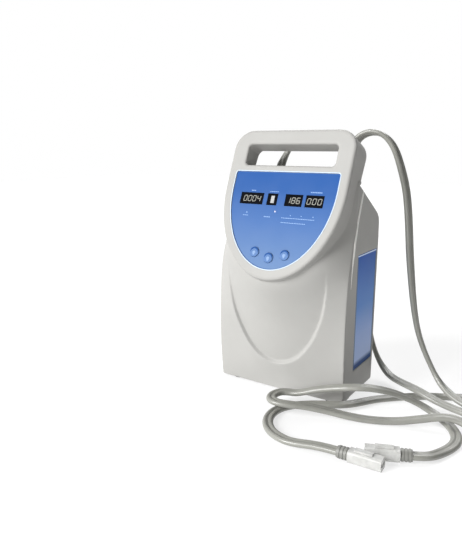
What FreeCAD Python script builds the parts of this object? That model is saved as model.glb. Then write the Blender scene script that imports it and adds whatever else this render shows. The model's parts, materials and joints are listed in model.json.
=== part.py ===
"""Compression therapy pump: a table-top air compressor that inflates leg or arm sleeves through two twin hoses.

Frame: millimetres, +Z up, origin at the centre of the pump's footprint on the table, front towards -Y.
The control head and carrying handle are one leaning slab, so everything on the head is drawn in the head's
own plane: x across, y up the slope, z out of the panel.  head_placement() puts that plane in the model.
"""
import FreeCAD, Part
import ast
import math
import operator
import os
import re

import Sketcher

V = FreeCAD.Vector
doc = FreeCAD.newDocument("compression_pump")

# ---------------------------------------------------------------- driving dimensions
SIZES = {
    # the two shells
    "foot_height": 2.5, "shell_wall": 3.0, "half_width": 86.0, "front_y": -30.5, "rear_y": 72.0,
    "seam_y": -9.0, "seam_bend_z": 202.0, "seam_top_y": 3.5, "seam_top_z": 262.0,
    "rear_bevel": 7.0,
    "rear_corner_r": 8.0,
    # the leaning head
    "head_lean": 22.6, "head_y": -30.1, "head_z": 255.5, "head_half_width": 81.5, "head_drop": 111.6,
    "head_rise": 74.3, "head_corner": 24.0, "head_depth": 33.0, "head_edge_r": 3.2, "head_stand": 3.5,
    "flare_from": 9.0, "head_flare": 7.0,
    # the finger slot of the handle
    "slot_side_wall": 21.7, "slot_low": 29.0, "slot_top_wall": 18.7, "slot_corner": 4.5, "slot_edge_r": 2.4,
    "slot_depth": 25.0, "grip_margin": 7.0, "grip_low_margin": 3.0, "grip_corner": 9.0, "grip_edge_r": 2.4,
    # the blue control panel and what shows through it
    "panel_half_width": 69.8, "panel_drop": 99.1, "panel_rise": 20.6, "panel_sink": 1.0, "panel_sheet": 1.5,
    "panel_gap": 0.2, "window_y": -13.8, "window_height": 14.2, "window_gap": 0.25, "window_sink": 0.3,
    "time_x": -40.2, "time_width": 32.0, "bar_x": -11.6, "bar_width": 13.4,
    "mode_x": 17.0, "mode_width": 22.4, "pressure_x": 43.8, "pressure_width": 22.4, "display_depth": 10.8,
    "led_r": 1.1, "led_gap": 0.05,
    # the three keys
    "key_pitch": 20.2, "key_y": -79.6, "key_dip": 5.2, "key_r": 6.2, "key_gap": 0.25, "key_proud": 1.3,
    "key_travel": 0.8, "key_flange_r": 7.6, "key_flange": 1.0, "key_stem_r": 2.2, "key_play": 0.15,
    # the display board behind the panel
    "board_sheet": 1.6, "board_half_width": 61.0, "board_foot_half_width": 34.0, "board_low": -92.0,
    "board_high": 10.0, "switch_side": 6.0,
    # the blue side panels
    "side_low_z": 34.0, "side_high_z": 178.5, "side_front_y": 0.5, "side_rear_y": 63.0, "side_recess": 2.2,
    "side_sheet": 1.6, "side_corner": 2.0, "side_gap": 0.3,
    # hose ports, plugs and hoses
    "port_x": 49.0, "port_y": 32.0, "port_half_width": 15.0, "port_half_depth": 9.0, "port_flange": 2.0,
    "port_neck_half_width": 11.0, "port_neck_half_depth": 6.0, "port_neck": 9.0,
    "spigot_r": 2.1, "spigot_bore_r": 1.2, "spigot_length": 10.0, "tube_pitch": 6.2,
    "plug_half_width": 11.5, "plug_half_depth": 7.5, "plug_tip_r": 5.4, "plug_length": 30.0, "plug_gap": 0.08,
    "hose_r": 4.4, "dish_half_width": 64.5, "dish_rise": 104.0, "dish_z": 143.5, "dish_y": -42.5, "dish_depth": 4.5, "dish_crop": 30.0,
    "roof_pitch": 31.0, "roof_corner_r": 18.0, "side_wall": 5.5, "side_taper": 3.4,
    # hose connectors
    "connector_z": 6.6, "right_end_x": 127.9, "right_end_y": -138.5, "right_end_turn": 2.0,
    "left_end_x": 192.4, "left_end_y": -105.5, "left_end_turn": 203.0, "connector_length": 34.0, "connector_width": 14.0, "connector_height": 12.6, "socket_r": 2.6,
    "socket_depth": 15.0, "collar_length": 12.0, "collar_r": 6.0, "collar_rib": 0.6,
    # feet
    "foot_r": 7.0, "foot_inset": 20.0, "foot_front_y": -20.0, "foot_rear_y": 52.0,
    # mains inlet, power switch, vents and screws on the back
    "inlet_x": -42.0, "inlet_z": 38.0, "inlet_half_width": 14.0, "inlet_half_height": 10.0,
    "inlet_flange_half_width": 24.5, "inlet_flange_half_height": 12.5, "inlet_flange": 2.0, "inlet_depth": 18.0,
    "inlet_wall": 1.8, "service_sink": 2.6, "pin_width": 4.0, "pin_sheet": 2.0, "pin_length": 13.0, "inlet_pin_pitch": 7.0,
    "switch_x": 8.0, "rocker_half_width": 6.0, "rocker_half_height": 9.0, "rocker_tilt": 8.0,
    "rocker_pivot": 2.5, "rocker_gap": 0.35, "rocker_frame": 2.2, "rocker_pin_r": 1.2,
    "vent_slot": 2.6, "vent_length": 56.0, "vent_pitch": 7.0, "vent_count": 7, "vent_z": 88.0,
    "screw_inset": 12.0, "screw_low_z": 24.0, "screw_high_z": 186.0, "screw_r": 1.9, "screw_head_r": 3.6,
    "screw_well_r": 4.2, "screw_well": 4.0, "boss_r": 5.5,
    # the works
    "pump_x": 0.0, "pump_y": 22.0, "pump_half_width": 44.0, "pump_half_depth": 23.0, "pump_floor": 15.0,
    "pump_height": 58.0, "pump_head_half_width": 24.0, "pump_head_height": 14.0, "mount_r": 7.0,
    "manifold_z": 150.0, "manifold_half_width": 38.0, "manifold_half_depth": 10.0, "manifold_height": 22.0,
    "valve_r": 8.0, "valve_length": 24.0, "air_tube_r": 3.2,
    "card_standoff": 3.0, "card_y": 30.0, "card_half_depth": 24.0, "card_low_z": 66.0, "card_high_z": 136.0,
    "transformer": 26.0,
}

sheet = doc.addObject("Spreadsheet::Sheet", "Sizes")
for row, (alias, millimetres) in enumerate(SIZES.items(), start=1):
    sheet.set("A%d" % row, alias)
    sheet.set("B%d" % row, str(millimetres))
    sheet.setAlias("B%d" % row, alias)
doc.recompute()


# ---------------------------------------------------------------- formulas of the sheet's names
OPERATIONS = {ast.Add: operator.add, ast.Sub: operator.sub, ast.Mult: operator.mul, ast.Div: operator.truediv}
FUNCTIONS = {
    "sin": lambda degrees: math.sin(math.radians(degrees)),
    "cos": lambda degrees: math.cos(math.radians(degrees)),
    "tan": lambda degrees: math.tan(math.radians(degrees)),
    "sqrt": math.sqrt,
}


def worked_out(node):
    """The number that one branch of a formula's syntax tree stands for."""
    if isinstance(node, ast.Constant):
        return float(node.value)
    if isinstance(node, ast.Name):
        return float(sheet.get(node.id))
    if isinstance(node, ast.UnaryOp):
        return -worked_out(node.operand)
    if isinstance(node, ast.Call):
        return FUNCTIONS[node.func.id](worked_out(node.args[0]))
    return OPERATIONS[type(node.op)](worked_out(node.left), worked_out(node.right))


def size(formula):
    """A formula of the sheet's names as a number."""
    return worked_out(ast.parse(str(formula).strip()).body[0].value)


def bound(formula):
    """The same formula as a FreeCAD expression, with each alias named through the sheet."""
    return re.sub(r"[a-z_]{3,}", lambda word: "Sizes." + word.group() if word.group() in SIZES else word.group(),
                  str(formula))


def bind(thing, **formulas):
    """Bind properties of an object: Length="key_travel" or, with a dot written __, Placement__Base__x=..."""
    for name, formula in formulas.items():
        thing.setExpression(name.replace("__", "."), bound(formula))


SPAN = size("4*half_width")
FOOT_X = "(half_width - foot_inset)"
SCREW_X = "(half_width - screw_inset)"


# ---------------------------------------------------------------- sketches and bodies
def new_body(label):
    body = doc.addObject("PartDesign::Body", label)
    body.Label = label
    return body


def origin_plane(body, role):
    return next(plane for plane in body.Origin.OriginFeatures if plane.Role == role)


def new_sketch(body, name, plane="XY_Plane", offset="0"):
    """A sketch on one of the body's origin planes, moved along the plane's normal by offset."""
    sketch = body.newObject("Sketcher::SketchObject", name)
    sketch.AttachmentSupport = [(origin_plane(body, plane), "")]
    sketch.MapMode = "FlatFace"
    sketch.AttachmentOffset.Base.z = size(offset)
    bind(sketch, AttachmentOffset__Base__z=offset)
    return sketch


def pin_point(sketch, geometry, end, x, y):
    """Hold one point of a sketch at the formulas x, y from its origin."""
    for kind, formula in (("DistanceX", x), ("DistanceY", y)):
        index = sketch.addConstraint(Sketcher.Constraint(kind, -1, 1, geometry, end, size(formula)))
        sketch.setExpression("Constraints[%d]" % index, bound(formula))


def polygon(sketch, corners):
    """A closed outline of straight edges through corners, each a pair of formulas."""
    points = [V(size(x), size(y), 0) for x, y in corners]
    edges = [sketch.addGeometry(Part.LineSegment(points[i - 1], points[i]), False) for i in range(len(points))]
    for i, edge in enumerate(edges):
        following = edges[(i + 1) % len(edges)]
        sketch.addConstraint(Sketcher.Constraint("Coincident", edge, 2, following, 1))
        pin_point(sketch, edge, 2, *corners[i])
    return edges


def rectangle(sketch, left, low, right, high):
    return polygon(sketch, [(left, low), (right, low), (right, high), (left, high)])


def circle(sketch, x, y, radius):
    ring = sketch.addGeometry(Part.Circle(V(size(x), size(y), 0), V(0, 0, 1), size(radius)), False)
    pin_point(sketch, ring, 3, x, y)
    index = sketch.addConstraint(Sketcher.Constraint("Radius", ring, size(radius)))
    sketch.setExpression("Constraints[%d]" % index, bound(radius))


def shield(sketch, half_width, drop, rise):
    """The head's outline: a straight-sided top over half an ellipse that hangs down to -drop."""
    left, low, top = -size(half_width), -size(drop), size(rise)
    sides = [(V(left, 0, 0), V(left, top, 0)), (V(left, top, 0), V(-left, top, 0)), (V(-left, top, 0), V(-left, 0, 0))]
    lines = [sketch.addGeometry(Part.LineSegment(a, b), False) for a, b in sides]
    ellipse = Part.Ellipse(V(0, low, 0), V(-left, 0, 0), V(0, 0, 0))
    bowl = sketch.addGeometry(Part.ArcOfEllipse(ellipse, math.radians(-90), math.radians(90)), False)
    for first, second in ((0, 1), (1, 2)):
        sketch.addConstraint(Sketcher.Constraint("Coincident", lines[first], 2, lines[second], 1))
    sketch.addConstraint(Sketcher.Constraint("Coincident", bowl, 3, -1, 1))
    sketch.exposeInternalGeometry(bowl)
    pin_point(sketch, lines[0], 1, "-(%s)" % half_width, "0")
    pin_point(sketch, lines[0], 2, "-(%s)" % half_width, rise)
    pin_point(sketch, lines[1], 2, half_width, rise)
    pin_point(sketch, lines[2], 2, half_width, "0")
    return bowl


def pad(body, sketch, length, name="pad", midplane=False, reverse=False):
    feature = body.newObject("PartDesign::Pad", name)
    feature.Profile = sketch
    feature.Length = size(length)
    feature.Midplane = midplane
    feature.Reversed = reverse
    bind(feature, Length=length)
    return feature


def pocket(body, sketch, length, name="pocket", midplane=False, reverse=False):
    """A pocket that has to take something away: its volume is compared with the solid's before it."""
    doc.recompute()
    before = body.Shape.Volume
    feature = body.newObject("PartDesign::Pocket", name)
    feature.Profile = sketch
    feature.Length = size(length)
    feature.Midplane = midplane
    feature.Reversed = reverse
    bind(feature, Length=length)
    doc.recompute()
    if not body.Shape.Volume < before - 1e-3:
        raise RuntimeError("%s of %s cuts nothing" % (name, body.Label))
    return feature


def edges_where(shape, test):
    """Names of the edges whose ends and middle all pass the test."""
    names = []
    for index, edge in enumerate(shape.Edges, start=1):
        first, last = edge.ParameterRange
        spots = [edge.valueAt(first), edge.valueAt((first + last) / 2), edge.valueAt(last)]
        if all(test(spot) for spot in spots):
            names.append("Edge%d" % index)
    return names


def fillet(body, radius, test, name="fillet"):
    """Round the edges of the body's tip that pass the test."""
    doc.recompute()
    base = body.Tip
    names = edges_where(base.Shape, test)
    if not names:
        raise RuntimeError("%s of %s finds no edge" % (name, body.Label))
    feature = body.newObject("PartDesign::Fillet", name)
    feature.Base = (base, names)
    feature.Radius = size(radius)
    bind(feature, Radius=radius)
    doc.recompute()
    return feature


def chamfer(body, length, test, name="chamfer"):
    doc.recompute()
    base = body.Tip
    feature = body.newObject("PartDesign::Chamfer", name)
    feature.Base = (base, edges_where(base.Shape, test))
    feature.Size = size(length)
    bind(feature, Size=length)
    doc.recompute()
    return feature


def turned(point, lean):
    """Rotation about X that takes the drawing plane to one that leans back by lean degrees."""
    return FreeCAD.Placement(point, FreeCAD.Rotation(V(1, 0, 0), 90 - lean))


def head_placement(thing):
    """Put a thing drawn in the head's plane where the head is."""
    thing.Placement = turned(V(0, size("head_y"), size("head_z")), size("head_lean"))
    bind(thing, Placement__Base__y="head_y", Placement__Base__z="head_z", Placement__Rotation__Angle="90 - head_lean")


def near(a, b, tolerance=0.05):
    return abs(a - b) < tolerance


SUBPARTS = {}


def keep(name, thing):
    """Enter a finished object as the sub-part called name."""
    thing.Label = name
    SUBPARTS[name] = thing
    return thing


# ---------------------------------------------------------------- the front shell's free form
CHIN = "(head_z - head_drop*cos(head_lean))"
# height up to the chin (0..1) or on up to the head's middle (1..2), extra half-width, y of the side edge,
# y of the control poles at x of 0.72 and 0.38 of the half-width, and y on the centre line.  Below 1 the
# y values are from front_y, above it from the head's front plane.
FRONT = [
    (0.000, 1.0, 0.0, (-0.5, -1.0), -1.3), (0.250, 2.0, -2.5, (-5.5, -10.5), -12.5),
    (0.503, 2.0, -4.0, (-9.5, -16.5), -20.5), (0.783, 2.0, -3.0, (-14.5, -26.5), -31.5),
    (1.000, 2.0, 0.0, (-19.5, -33.5), -39.0), (1.335, 1.0, 37.6, (5.0, 3.6), 3.6),
    (1.529, 0.0, 36.2, (8.0, 3.3), 3.8), (1.723, -1.0, 33.4, (4.6, 3.5), 3.5), (2.087, -3.0, 27.4, (4.2, 3.9), 3.9),
]


def front_wire(row, inset, shift=0.0):
    """One horizontal outline of the front shell, moved inwards by inset and backwards by shift."""
    climb, extra, edge, poles, centre = row
    chin, low, middle = size(CHIN), size("foot_height"), size("head_z")
    z = low + climb * (chin - low) if climb <= 1 else chin + (climb - 1) * (middle - chin)
    start = size("front_y") if climb <= 1 else size("head_y") + (z - middle) * size("tan(head_lean)")
    half = size("half_width") + extra
    w = half - inset
    push = start + inset + shift
    right = [V(w, push + edge, z), V(w * 0.72, push + poles[0], z), V(w * 0.38, push + poles[1], z)]
    left = [V(-p.x, p.y, p.z) for p in reversed(right)]
    curve = Part.BSplineCurve()
    curve.buildFromPoles(right + [V(0, push + centre, z)] + left, False, 3)
    back = size("seam_top_y") + 3.5
    corners = [left[-1], V(-w, back, z), V(w, back, z), right[0]]
    sides = [Part.LineSegment(a, b).toShape() for a, b in zip(corners[:-1], corners[1:])]
    return Part.Wire([curve.toShape()] + sides)


def front_solid(inset=0.0, shifts=(0.0,) * len(FRONT)):
    return Part.makeLoft([front_wire(row, inset, shift) for row, shift in zip(FRONT, shifts)], True, False)


def plain(name, shape):
    thing = doc.addObject("Part::Feature", name)
    thing.Shape = shape
    return thing


def joined(name, *things):
    fuse = doc.addObject("Part::MultiFuse", name)
    fuse.Shapes = list(things)
    return fuse


def less(name, base, tool):
    cut = doc.addObject("Part::Cut", name)
    cut.Base, cut.Tool = base, tool
    return cut


ROOF = "(seam_top_z - (%s - seam_top_y)*tan(roof_pitch))"


def roof_z(y):
    return ROOF % y


bulk = plain("front_bulk", front_solid())

# the dish: a tapered oval that only goes down to a copy of the front set back by the dish's depth
DISH_FADE = [size("dish_depth") * share for share in (1, 1, 0.97, 0.62, 0.1, 0, 0, 0, 0)]
setback = plain("dish_floor", front_solid(0.0, DISH_FADE))


def oval(y, grow):
    centre = V(0, size(y), size("dish_z"))
    across, up = size("dish_half_width") + grow, size("dish_rise") + grow
    ring = Part.Ellipse(centre + V(0, 0, up), centre + V(across, 0, 0), centre)
    return Part.Wire([ring.toShape()])


scoop_solid = Part.makeLoft([oval("dish_y - 45", 45), oval("dish_y + 12", -12)], True, True)
scoop = plain("dish_scoop", scoop_solid.common(Part.makeBox(SPAN, SPAN, size("dish_z + dish_crop"), V(-SPAN/2, -SPAN/2, 0))))
dish = less("dish_tool", scoop, setback)
dished = less("front_dished", bulk, dish)

head = new_body("head_block")
outline = new_sketch(head, "head_outline")
shield(outline, "head_half_width", "head_drop", "head_rise")
pad(head, outline, "head_depth + head_flare", reverse=True)
fillet(head, "head_corner", lambda p: near(abs(p.x), size("head_half_width")) and near(p.y, size("head_rise")))
# above the casing the block grows deeper towards its top
lean_back = new_sketch(head, "head_back", "YZ_Plane")
polygon(lean_back, [("-head_drop - 5", "-head_depth"), ("flare_from", "-head_depth"),
                    ("head_rise + 5", "-head_depth - head_flare*(head_rise + 5 - flare_from)/(head_rise - flare_from)"),
                    ("head_rise + 5", "-head_depth - head_flare - 5"), ("-head_drop - 5", "-head_depth - head_flare - 5")])
pocket(head, lean_back, "2*head_half_width + 10", "back_cut", midplane=True)


def back_of_head(y):
    return -size("head_depth") - size("head_flare") * max(0, y - size("flare_from")) / size("head_rise - flare_from")


fillet(head, "head_edge_r", lambda p: near(p.z, 0), "front_rounding")
fillet(head, "head_edge_r", lambda p: near(p.z, back_of_head(p.y)) and not near(p.y, size("flare_from"))
       or near(p.z, -size("head_depth")) and near(abs(p.x), size("head_half_width")), "back_rounding")
SLOT_SIDE, SLOT_TOP = "(head_half_width - slot_side_wall)", "(head_rise - slot_top_wall)"
slot = new_sketch(head, "slot_outline", offset="2")
rectangle(slot, "-" + SLOT_SIDE, "slot_low", SLOT_SIDE, SLOT_TOP)
pocket(head, slot, "head_depth + head_flare + 4", "slot")
grip = new_sketch(head, "grip_outline", offset="-slot_depth")
rectangle(grip, "-" + SLOT_SIDE + " - grip_margin", "slot_low - grip_low_margin", SLOT_SIDE + " + grip_margin",
          SLOT_TOP + " + grip_margin")
pocket(head, grip, "head_depth + head_flare", "grip")
fillet(head, "slot_corner", lambda p: near(abs(p.x), size(SLOT_SIDE))
       and (near(p.y, size("slot_low")) or near(p.y, size(SLOT_TOP))), "slot_corners")
fillet(head, "grip_corner", lambda p: near(abs(p.x), size(SLOT_SIDE + " + grip_margin"))
       and (near(p.y, size("slot_low - grip_low_margin")) or near(p.y, size(SLOT_TOP + " + grip_margin"))), "grip_corners")
fillet(head, "slot_edge_r", lambda p: abs(p.x) < size(SLOT_SIDE) + 0.1
       and size("slot_low") - 0.1 < p.y < size(SLOT_TOP) + 0.1
       and (near(p.z, 0) or near(p.z, -size("slot_depth"))), "slot_rounding")
fillet(head, "grip_edge_r", lambda p: abs(p.x) < size(SLOT_SIDE + " + grip_margin") + 0.1
       and size("slot_low - grip_low_margin") - 0.1 < p.y < size(SLOT_TOP + " + grip_margin") + 0.1
       and near(p.z, back_of_head(p.y)), "grip_rounding")
head_placement(head)

# everything behind the seam belongs to the rear casing
behind = new_body("behind_seam")
profile = new_sketch(behind, "behind_outline", "YZ_Plane")
polygon(profile, [("seam_y", "-20"), ("seam_y", "seam_bend_z"), ("seam_top_y", "seam_top_z"),
                  ("rear_y + 60", roof_z("(rear_y + 60)")), ("rear_y + 60", "-20")])
pad(behind, profile, "2*half_width + 60", midplane=True)

# the hollow, less the bosses that stand in it
floor = size("foot_height + shell_wall")
cavity = plain("front_cavity", front_solid(size("shell_wall"), DISH_FADE).common(
    Part.makeBox(SPAN, SPAN, size("seam_top_z - 5") - floor, V(-SPAN/2, -SPAN/2, floor))))
cavity_head = new_body("head_cavity")
inner = new_sketch(cavity_head, "head_cavity_outline", offset="-(panel_sink + panel_sheet + shell_wall)")
shield(inner, "head_half_width - shell_wall", "head_drop - shell_wall", "panel_rise + 2")
pad(cavity_head, inner, "head_depth - panel_sink - panel_sheet - 2*shell_wall", reverse=True)
head_placement(cavity_head)

bosses = new_body("front_bosses")
rings = new_sketch(bosses, "front_boss_rings", "XZ_Plane", offset="-seam_y")
for x in (SCREW_X, "-" + SCREW_X):
    for z in ("screw_low_z", "screw_high_z"):
        circle(rings, x, z, "boss_r")
pad(bosses, rings, "60")
board_bosses = new_body("board_bosses")
rings = new_sketch(board_bosses, "board_boss_rings", offset="-panel_sink - panel_sheet")
BOARD_SCREWS = [("board_half_width - 6", "board_high - 6"), ("-(board_half_width - 6)", "board_high - 6"),
                ("board_foot_half_width - 4", "board_low + 5"), ("-(board_foot_half_width - 4)", "board_low + 5")]
for x, y in BOARD_SCREWS:
    circle(rings, x, y, "3.2")
BOARD_FACE = "(panel_sink + window_sink + display_depth)"
pad(board_bosses, rings, BOARD_FACE + " - panel_sink - panel_sheet", reverse=True)
head_placement(board_bosses)
hollow = less("front_hollow", joined("front_hollows", cavity, cavity_head), joined("all_bosses", bosses, board_bosses))

# the recess of the panel and all that passes through the wall behind it
recess = new_body("panel_recess")
area = new_sketch(recess, "recess_outline", offset="2")
shield(area, "panel_half_width", "panel_drop", "panel_rise")
pad(recess, area, "2 + panel_sink + panel_sheet", reverse=True)
fillet(recess, "3", lambda p: near(abs(p.x), size("panel_half_width")) and near(p.y, size("panel_rise")))
head_placement(recess)

WINDOWS = [("time_x", "time_width"), ("bar_x", "bar_width"), ("mode_x", "mode_width"), ("pressure_x", "pressure_width")]
KEYS = {"left": ("-key_pitch", "key_y"), "middle": ("0", "key_y - key_dip"), "right": ("key_pitch", "key_y")}
LED = ("bar_x + 7", "window_y - window_height/2 - 7.5")


def window(sketch, x, width, gap):
    rectangle(sketch, "%s - %s/2 - %s" % (x, width, gap), "window_y - window_height/2 - %s" % gap,
              "%s + %s/2 + %s" % (x, width, gap), "window_y + window_height/2 + %s" % gap)


def wall_openings(sketch):
    for x, width in WINDOWS:
        window(sketch, x, width, "window_gap")
    for x, y in KEYS.values():
        circle(sketch, x, y, "key_r + key_gap")
    circle(sketch, LED[0], LED[1], "led_r + led_gap")


openings = new_body("panel_openings")
holes = new_sketch(openings, "wall_openings")
wall_openings(holes)
pad(openings, holes, "panel_sink + panel_sheet + shell_wall + 1", reverse=True)
head_placement(openings)

screw_bores = new_body("front_screw_bores")
bores = new_sketch(screw_bores, "screw_bores", "XZ_Plane", offset="-seam_y")
for x in (SCREW_X, "-" + SCREW_X):
    for z in ("screw_low_z", "screw_high_z"):
        circle(bores, x, z, "screw_r")
pad(screw_bores, bores, "9")
board_bores = new_body("board_screw_bores")
bores = new_sketch(board_bores, "board_bores", offset="-" + BOARD_FACE)
for x, y in BOARD_SCREWS:
    circle(bores, x, y, "1.1")
pad(board_bores, bores, "5")
head_placement(board_bores)

front = joined("front_outside", dished, head)
for step, tool in (("seam", behind), ("hollow", hollow), ("recess", recess), ("openings", openings),
                   ("shell_bores", screw_bores), ("board_bores", board_bores)):
    front = less("front_less_" + step, front, tool)
keep("front_shell", front)


# ---------------------------------------------------------------- the rear casing
casing = new_body("rear_casing")
profile = new_sketch(casing, "casing_profile", "YZ_Plane")
polygon(profile, [("seam_y", "foot_height"), ("rear_y - rear_bevel", "foot_height"),
                  ("rear_y", "foot_height + rear_bevel*1.3"), ("rear_y", roof_z("rear_y")),
                  ("seam_top_y", "seam_top_z"), ("seam_y", "seam_bend_z")])
pad(casing, profile, "2*half_width", midplane=True)
fillet(casing, "roof_corner_r", lambda p: near(p.y, size("rear_y")) and near(p.z, size(roof_z("rear_y"))), "roof_corner")
fillet(casing, "rear_corner_r", lambda p: near(abs(p.x), size("half_width")) and p.y > size("seam_top_y") - 0.1
       and p.z > size("foot_height") + 0.5 and not (near(p.y, size("seam_top_y")) and p.z < size("seam_top_z") - 1),
       "rear_rounding")
taper = new_sketch(casing, "side_taper", "XZ_Plane")
for side in ("", "-"):
    polygon(taper, [(side + "half_width", "screw_high_z - 4"), (side + "(half_width + 6)", "screw_high_z - 4"),
                    (side + "(half_width + 6)", "seam_top_z + 6"), (side + "(half_width - side_taper)", "seam_top_z + 6")])
pocket(casing, taper, "3*rear_y", "tapered_sides", midplane=True)
void = new_sketch(casing, "casing_void", "YZ_Plane")
polygon(void, [("seam_y - 5", "foot_height + shell_wall"), ("rear_y - rear_bevel - 3", "foot_height + shell_wall"),
               ("rear_y - shell_wall", "foot_height + rear_bevel*1.3 + 3"), ("rear_y - shell_wall", roof_z("rear_y") + " - 14"),
               ("rear_y - shell_wall - 8", roof_z("(rear_y - 11)") + " - 3.8"),
               ("seam_top_y", "seam_top_z - 3.8"), ("seam_y - 5", "seam_top_z - 3.8")])
pocket(casing, void, "2*(half_width - side_wall)", "hollow", midplane=True)
block = new_sketch(casing, "service_block", "XZ_Plane", offset="-(rear_y - shell_wall)")
rectangle(block, "inlet_x - inlet_flange_half_width - 4", "inlet_z - 17", "switch_x + 13", "inlet_z + 17")
pad(casing, block, "3.5", "service_wall")
tubes = new_sketch(casing, "casing_bosses", "XZ_Plane", offset="-(rear_y - shell_wall/2)")
for x in (SCREW_X, "-" + SCREW_X):
    for z in ("screw_low_z", "screw_high_z"):
        circle(tubes, x, z, "boss_r")
pad(casing, tubes, "rear_y - shell_wall/2 - seam_y", "bosses")
wells = new_sketch(casing, "screw_wells", "XZ_Plane", offset="-rear_y")
for x in (SCREW_X, "-" + SCREW_X):
    for z in ("screw_low_z", "screw_high_z"):
        circle(wells, x, z, "screw_well_r")
pocket(casing, wells, "rear_y - seam_y - 12", "screw_well", reverse=True)
drills = new_sketch(casing, "screw_holes", "XZ_Plane", offset="-rear_y")
for x in (SCREW_X, "-" + SCREW_X):
    for z in ("screw_low_z", "screw_high_z"):
        circle(drills, x, z, "screw_r + 0.2")
pocket(casing, drills, "rear_y - seam_y", "screw_hole", reverse=True)
service = new_sketch(casing, "service_recess", "XZ_Plane", offset="-rear_y")
rectangle(service, "inlet_x - inlet_flange_half_width - 0.4", "inlet_z - inlet_flange_half_height - 0.4",
          "inlet_x + inlet_flange_half_width + 0.4", "inlet_z + inlet_flange_half_height + 0.4")
rectangle(service, "switch_x - rocker_half_width - rocker_frame - 2.2", "inlet_z - inlet_flange_half_height - 0.4",
          "switch_x + rocker_half_width + rocker_frame + 2.2", "inlet_z + inlet_flange_half_height + 0.4")
pocket(casing, service, "inlet_flange + service_sink", "service_recess_cut", reverse=True)
cuts = new_sketch(casing, "service_openings", "XZ_Plane", offset="-rear_y")
rectangle(cuts, "inlet_x - inlet_half_width - 0.1", "inlet_z - inlet_half_height - 0.1",
          "inlet_x + inlet_half_width + 0.1", "inlet_z + inlet_half_height + 0.1")
rectangle(cuts, "switch_x - rocker_half_width - rocker_frame", "inlet_z - rocker_half_height - rocker_frame",
          "switch_x + rocker_half_width + rocker_frame", "inlet_z + rocker_half_height + rocker_frame")
pocket(casing, cuts, "18", "service_opening", reverse=True)
vents = new_sketch(casing, "vent_slots", "XZ_Plane", offset="-rear_y")
for k in range(int(SIZES["vent_count"])):
    low = "vent_z + %d*vent_pitch" % k
    rectangle(vents, "-vent_length/2", low, "vent_length/2", low + " + vent_slot")
pocket(casing, vents, "shell_wall + 2", "vents", reverse=True)
for side, plane_offset, flip in (("right", "half_width", False), ("left", "-half_width", True)):
    inlay = new_sketch(casing, "recess_" + side, "YZ_Plane", offset=plane_offset)
    rectangle(inlay, "side_front_y", "side_low_z", "side_rear_y", "side_high_z")
    pocket(casing, inlay, "side_recess", "side_recess_" + side, reverse=flip)
fillet(casing, "side_corner", lambda p: size("half_width - side_recess") - 0.05 < abs(p.x) < size("half_width") + 0.05
       and (near(p.y, size("side_front_y")) or near(p.y, size("side_rear_y")))
       and (near(p.z, size("side_low_z")) or near(p.z, size("side_high_z"))), "recess_corners")
doc.recompute()
# the two port openings, square to the roof
port_holes = new_body("port_openings")
necks = new_sketch(port_holes, "neck_outline")
for x in ("port_x", "-port_x"):
    rectangle(necks, x + " - port_neck_half_width", "-port_neck_half_depth", x + " + port_neck_half_width",
              "port_neck_half_depth")
pad(port_holes, necks, "30", midplane=True)


def roof_placement(thing, x="0"):
    """Put a thing drawn at the origin on the roof, square to it."""
    thing.Placement = FreeCAD.Placement(V(size(x), size("port_y"), size(roof_z("port_y"))),
                                        FreeCAD.Rotation(V(1, 0, 0), -size("roof_pitch")))
    bind(thing, Placement__Base__x=x, Placement__Base__y="port_y", Placement__Base__z=roof_z("port_y"),
         Placement__Rotation__Angle="-roof_pitch")


roof_placement(port_holes)
keep("rear_casing", less("rear_casing_open", casing, port_holes))


# ---------------------------------------------------------------- small helpers for the fitted parts
def block(name, x, y, z, round_r=None):
    """A box between pairs of formulas x, y, z; round_r rounds its upright edges."""
    body = new_body(name)
    base = new_sketch(body, name + "_outline", offset=z[0])
    rectangle(base, x[0], y[0], x[1], y[1])
    pad(body, base, "%s - (%s)" % (z[1], z[0]))
    if round_r:
        fillet(body, round_r, lambda p: near(abs(p.x - (size(x[0]) + size(x[1])) / 2), (size(x[1]) - size(x[0])) / 2)
               and near(abs(p.y - (size(y[0]) + size(y[1])) / 2), (size(y[1]) - size(y[0])) / 2))
    return body


def pins(name, spots, radius, low, length, plane="XY_Plane", reverse=False):
    """Equal round pins at the spots of one plane, starting at low along its normal."""
    body = new_body(name)
    base = new_sketch(body, name + "_outline", plane, offset=low)
    for x, y in spots:
        circle(base, x, y, radius)
    pad(body, base, length, reverse=reverse)
    return body


# ---------------------------------------------------------------- control panel, displays, keys
panel = new_body("control_panel")
outline = new_sketch(panel, "panel_outline", offset="-panel_sink")
shield(outline, "panel_half_width - panel_gap", "panel_drop - panel_gap", "panel_rise - panel_gap")
pad(panel, outline, "panel_sheet", reverse=True)
fillet(panel, "2.8", lambda p: near(abs(p.x), size("panel_half_width - panel_gap"))
       and near(p.y, size("panel_rise - panel_gap")))
holes = new_sketch(panel, "panel_holes", offset="-panel_sink")
wall_openings(holes)
pocket(panel, holes, "panel_sheet + 1", "panel_windows")
head_placement(panel)
keep("control_panel", panel)

for label, (x, width) in zip(("display_time", "display_bar", "display_mode", "display_pressure"), WINDOWS):
    display = new_body(label)
    face = new_sketch(display, label + "_outline", offset="-(panel_sink + window_sink)")
    window(face, x, width, "0")
    pad(display, face, "display_depth", reverse=True)
    head_placement(display)
    keep(label, display)

led = pins("indicator_led", [LED], "led_r", "-(panel_sink + window_sink)", "display_depth", reverse=True)
head_placement(led)
keep("indicator_led", led)

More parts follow.
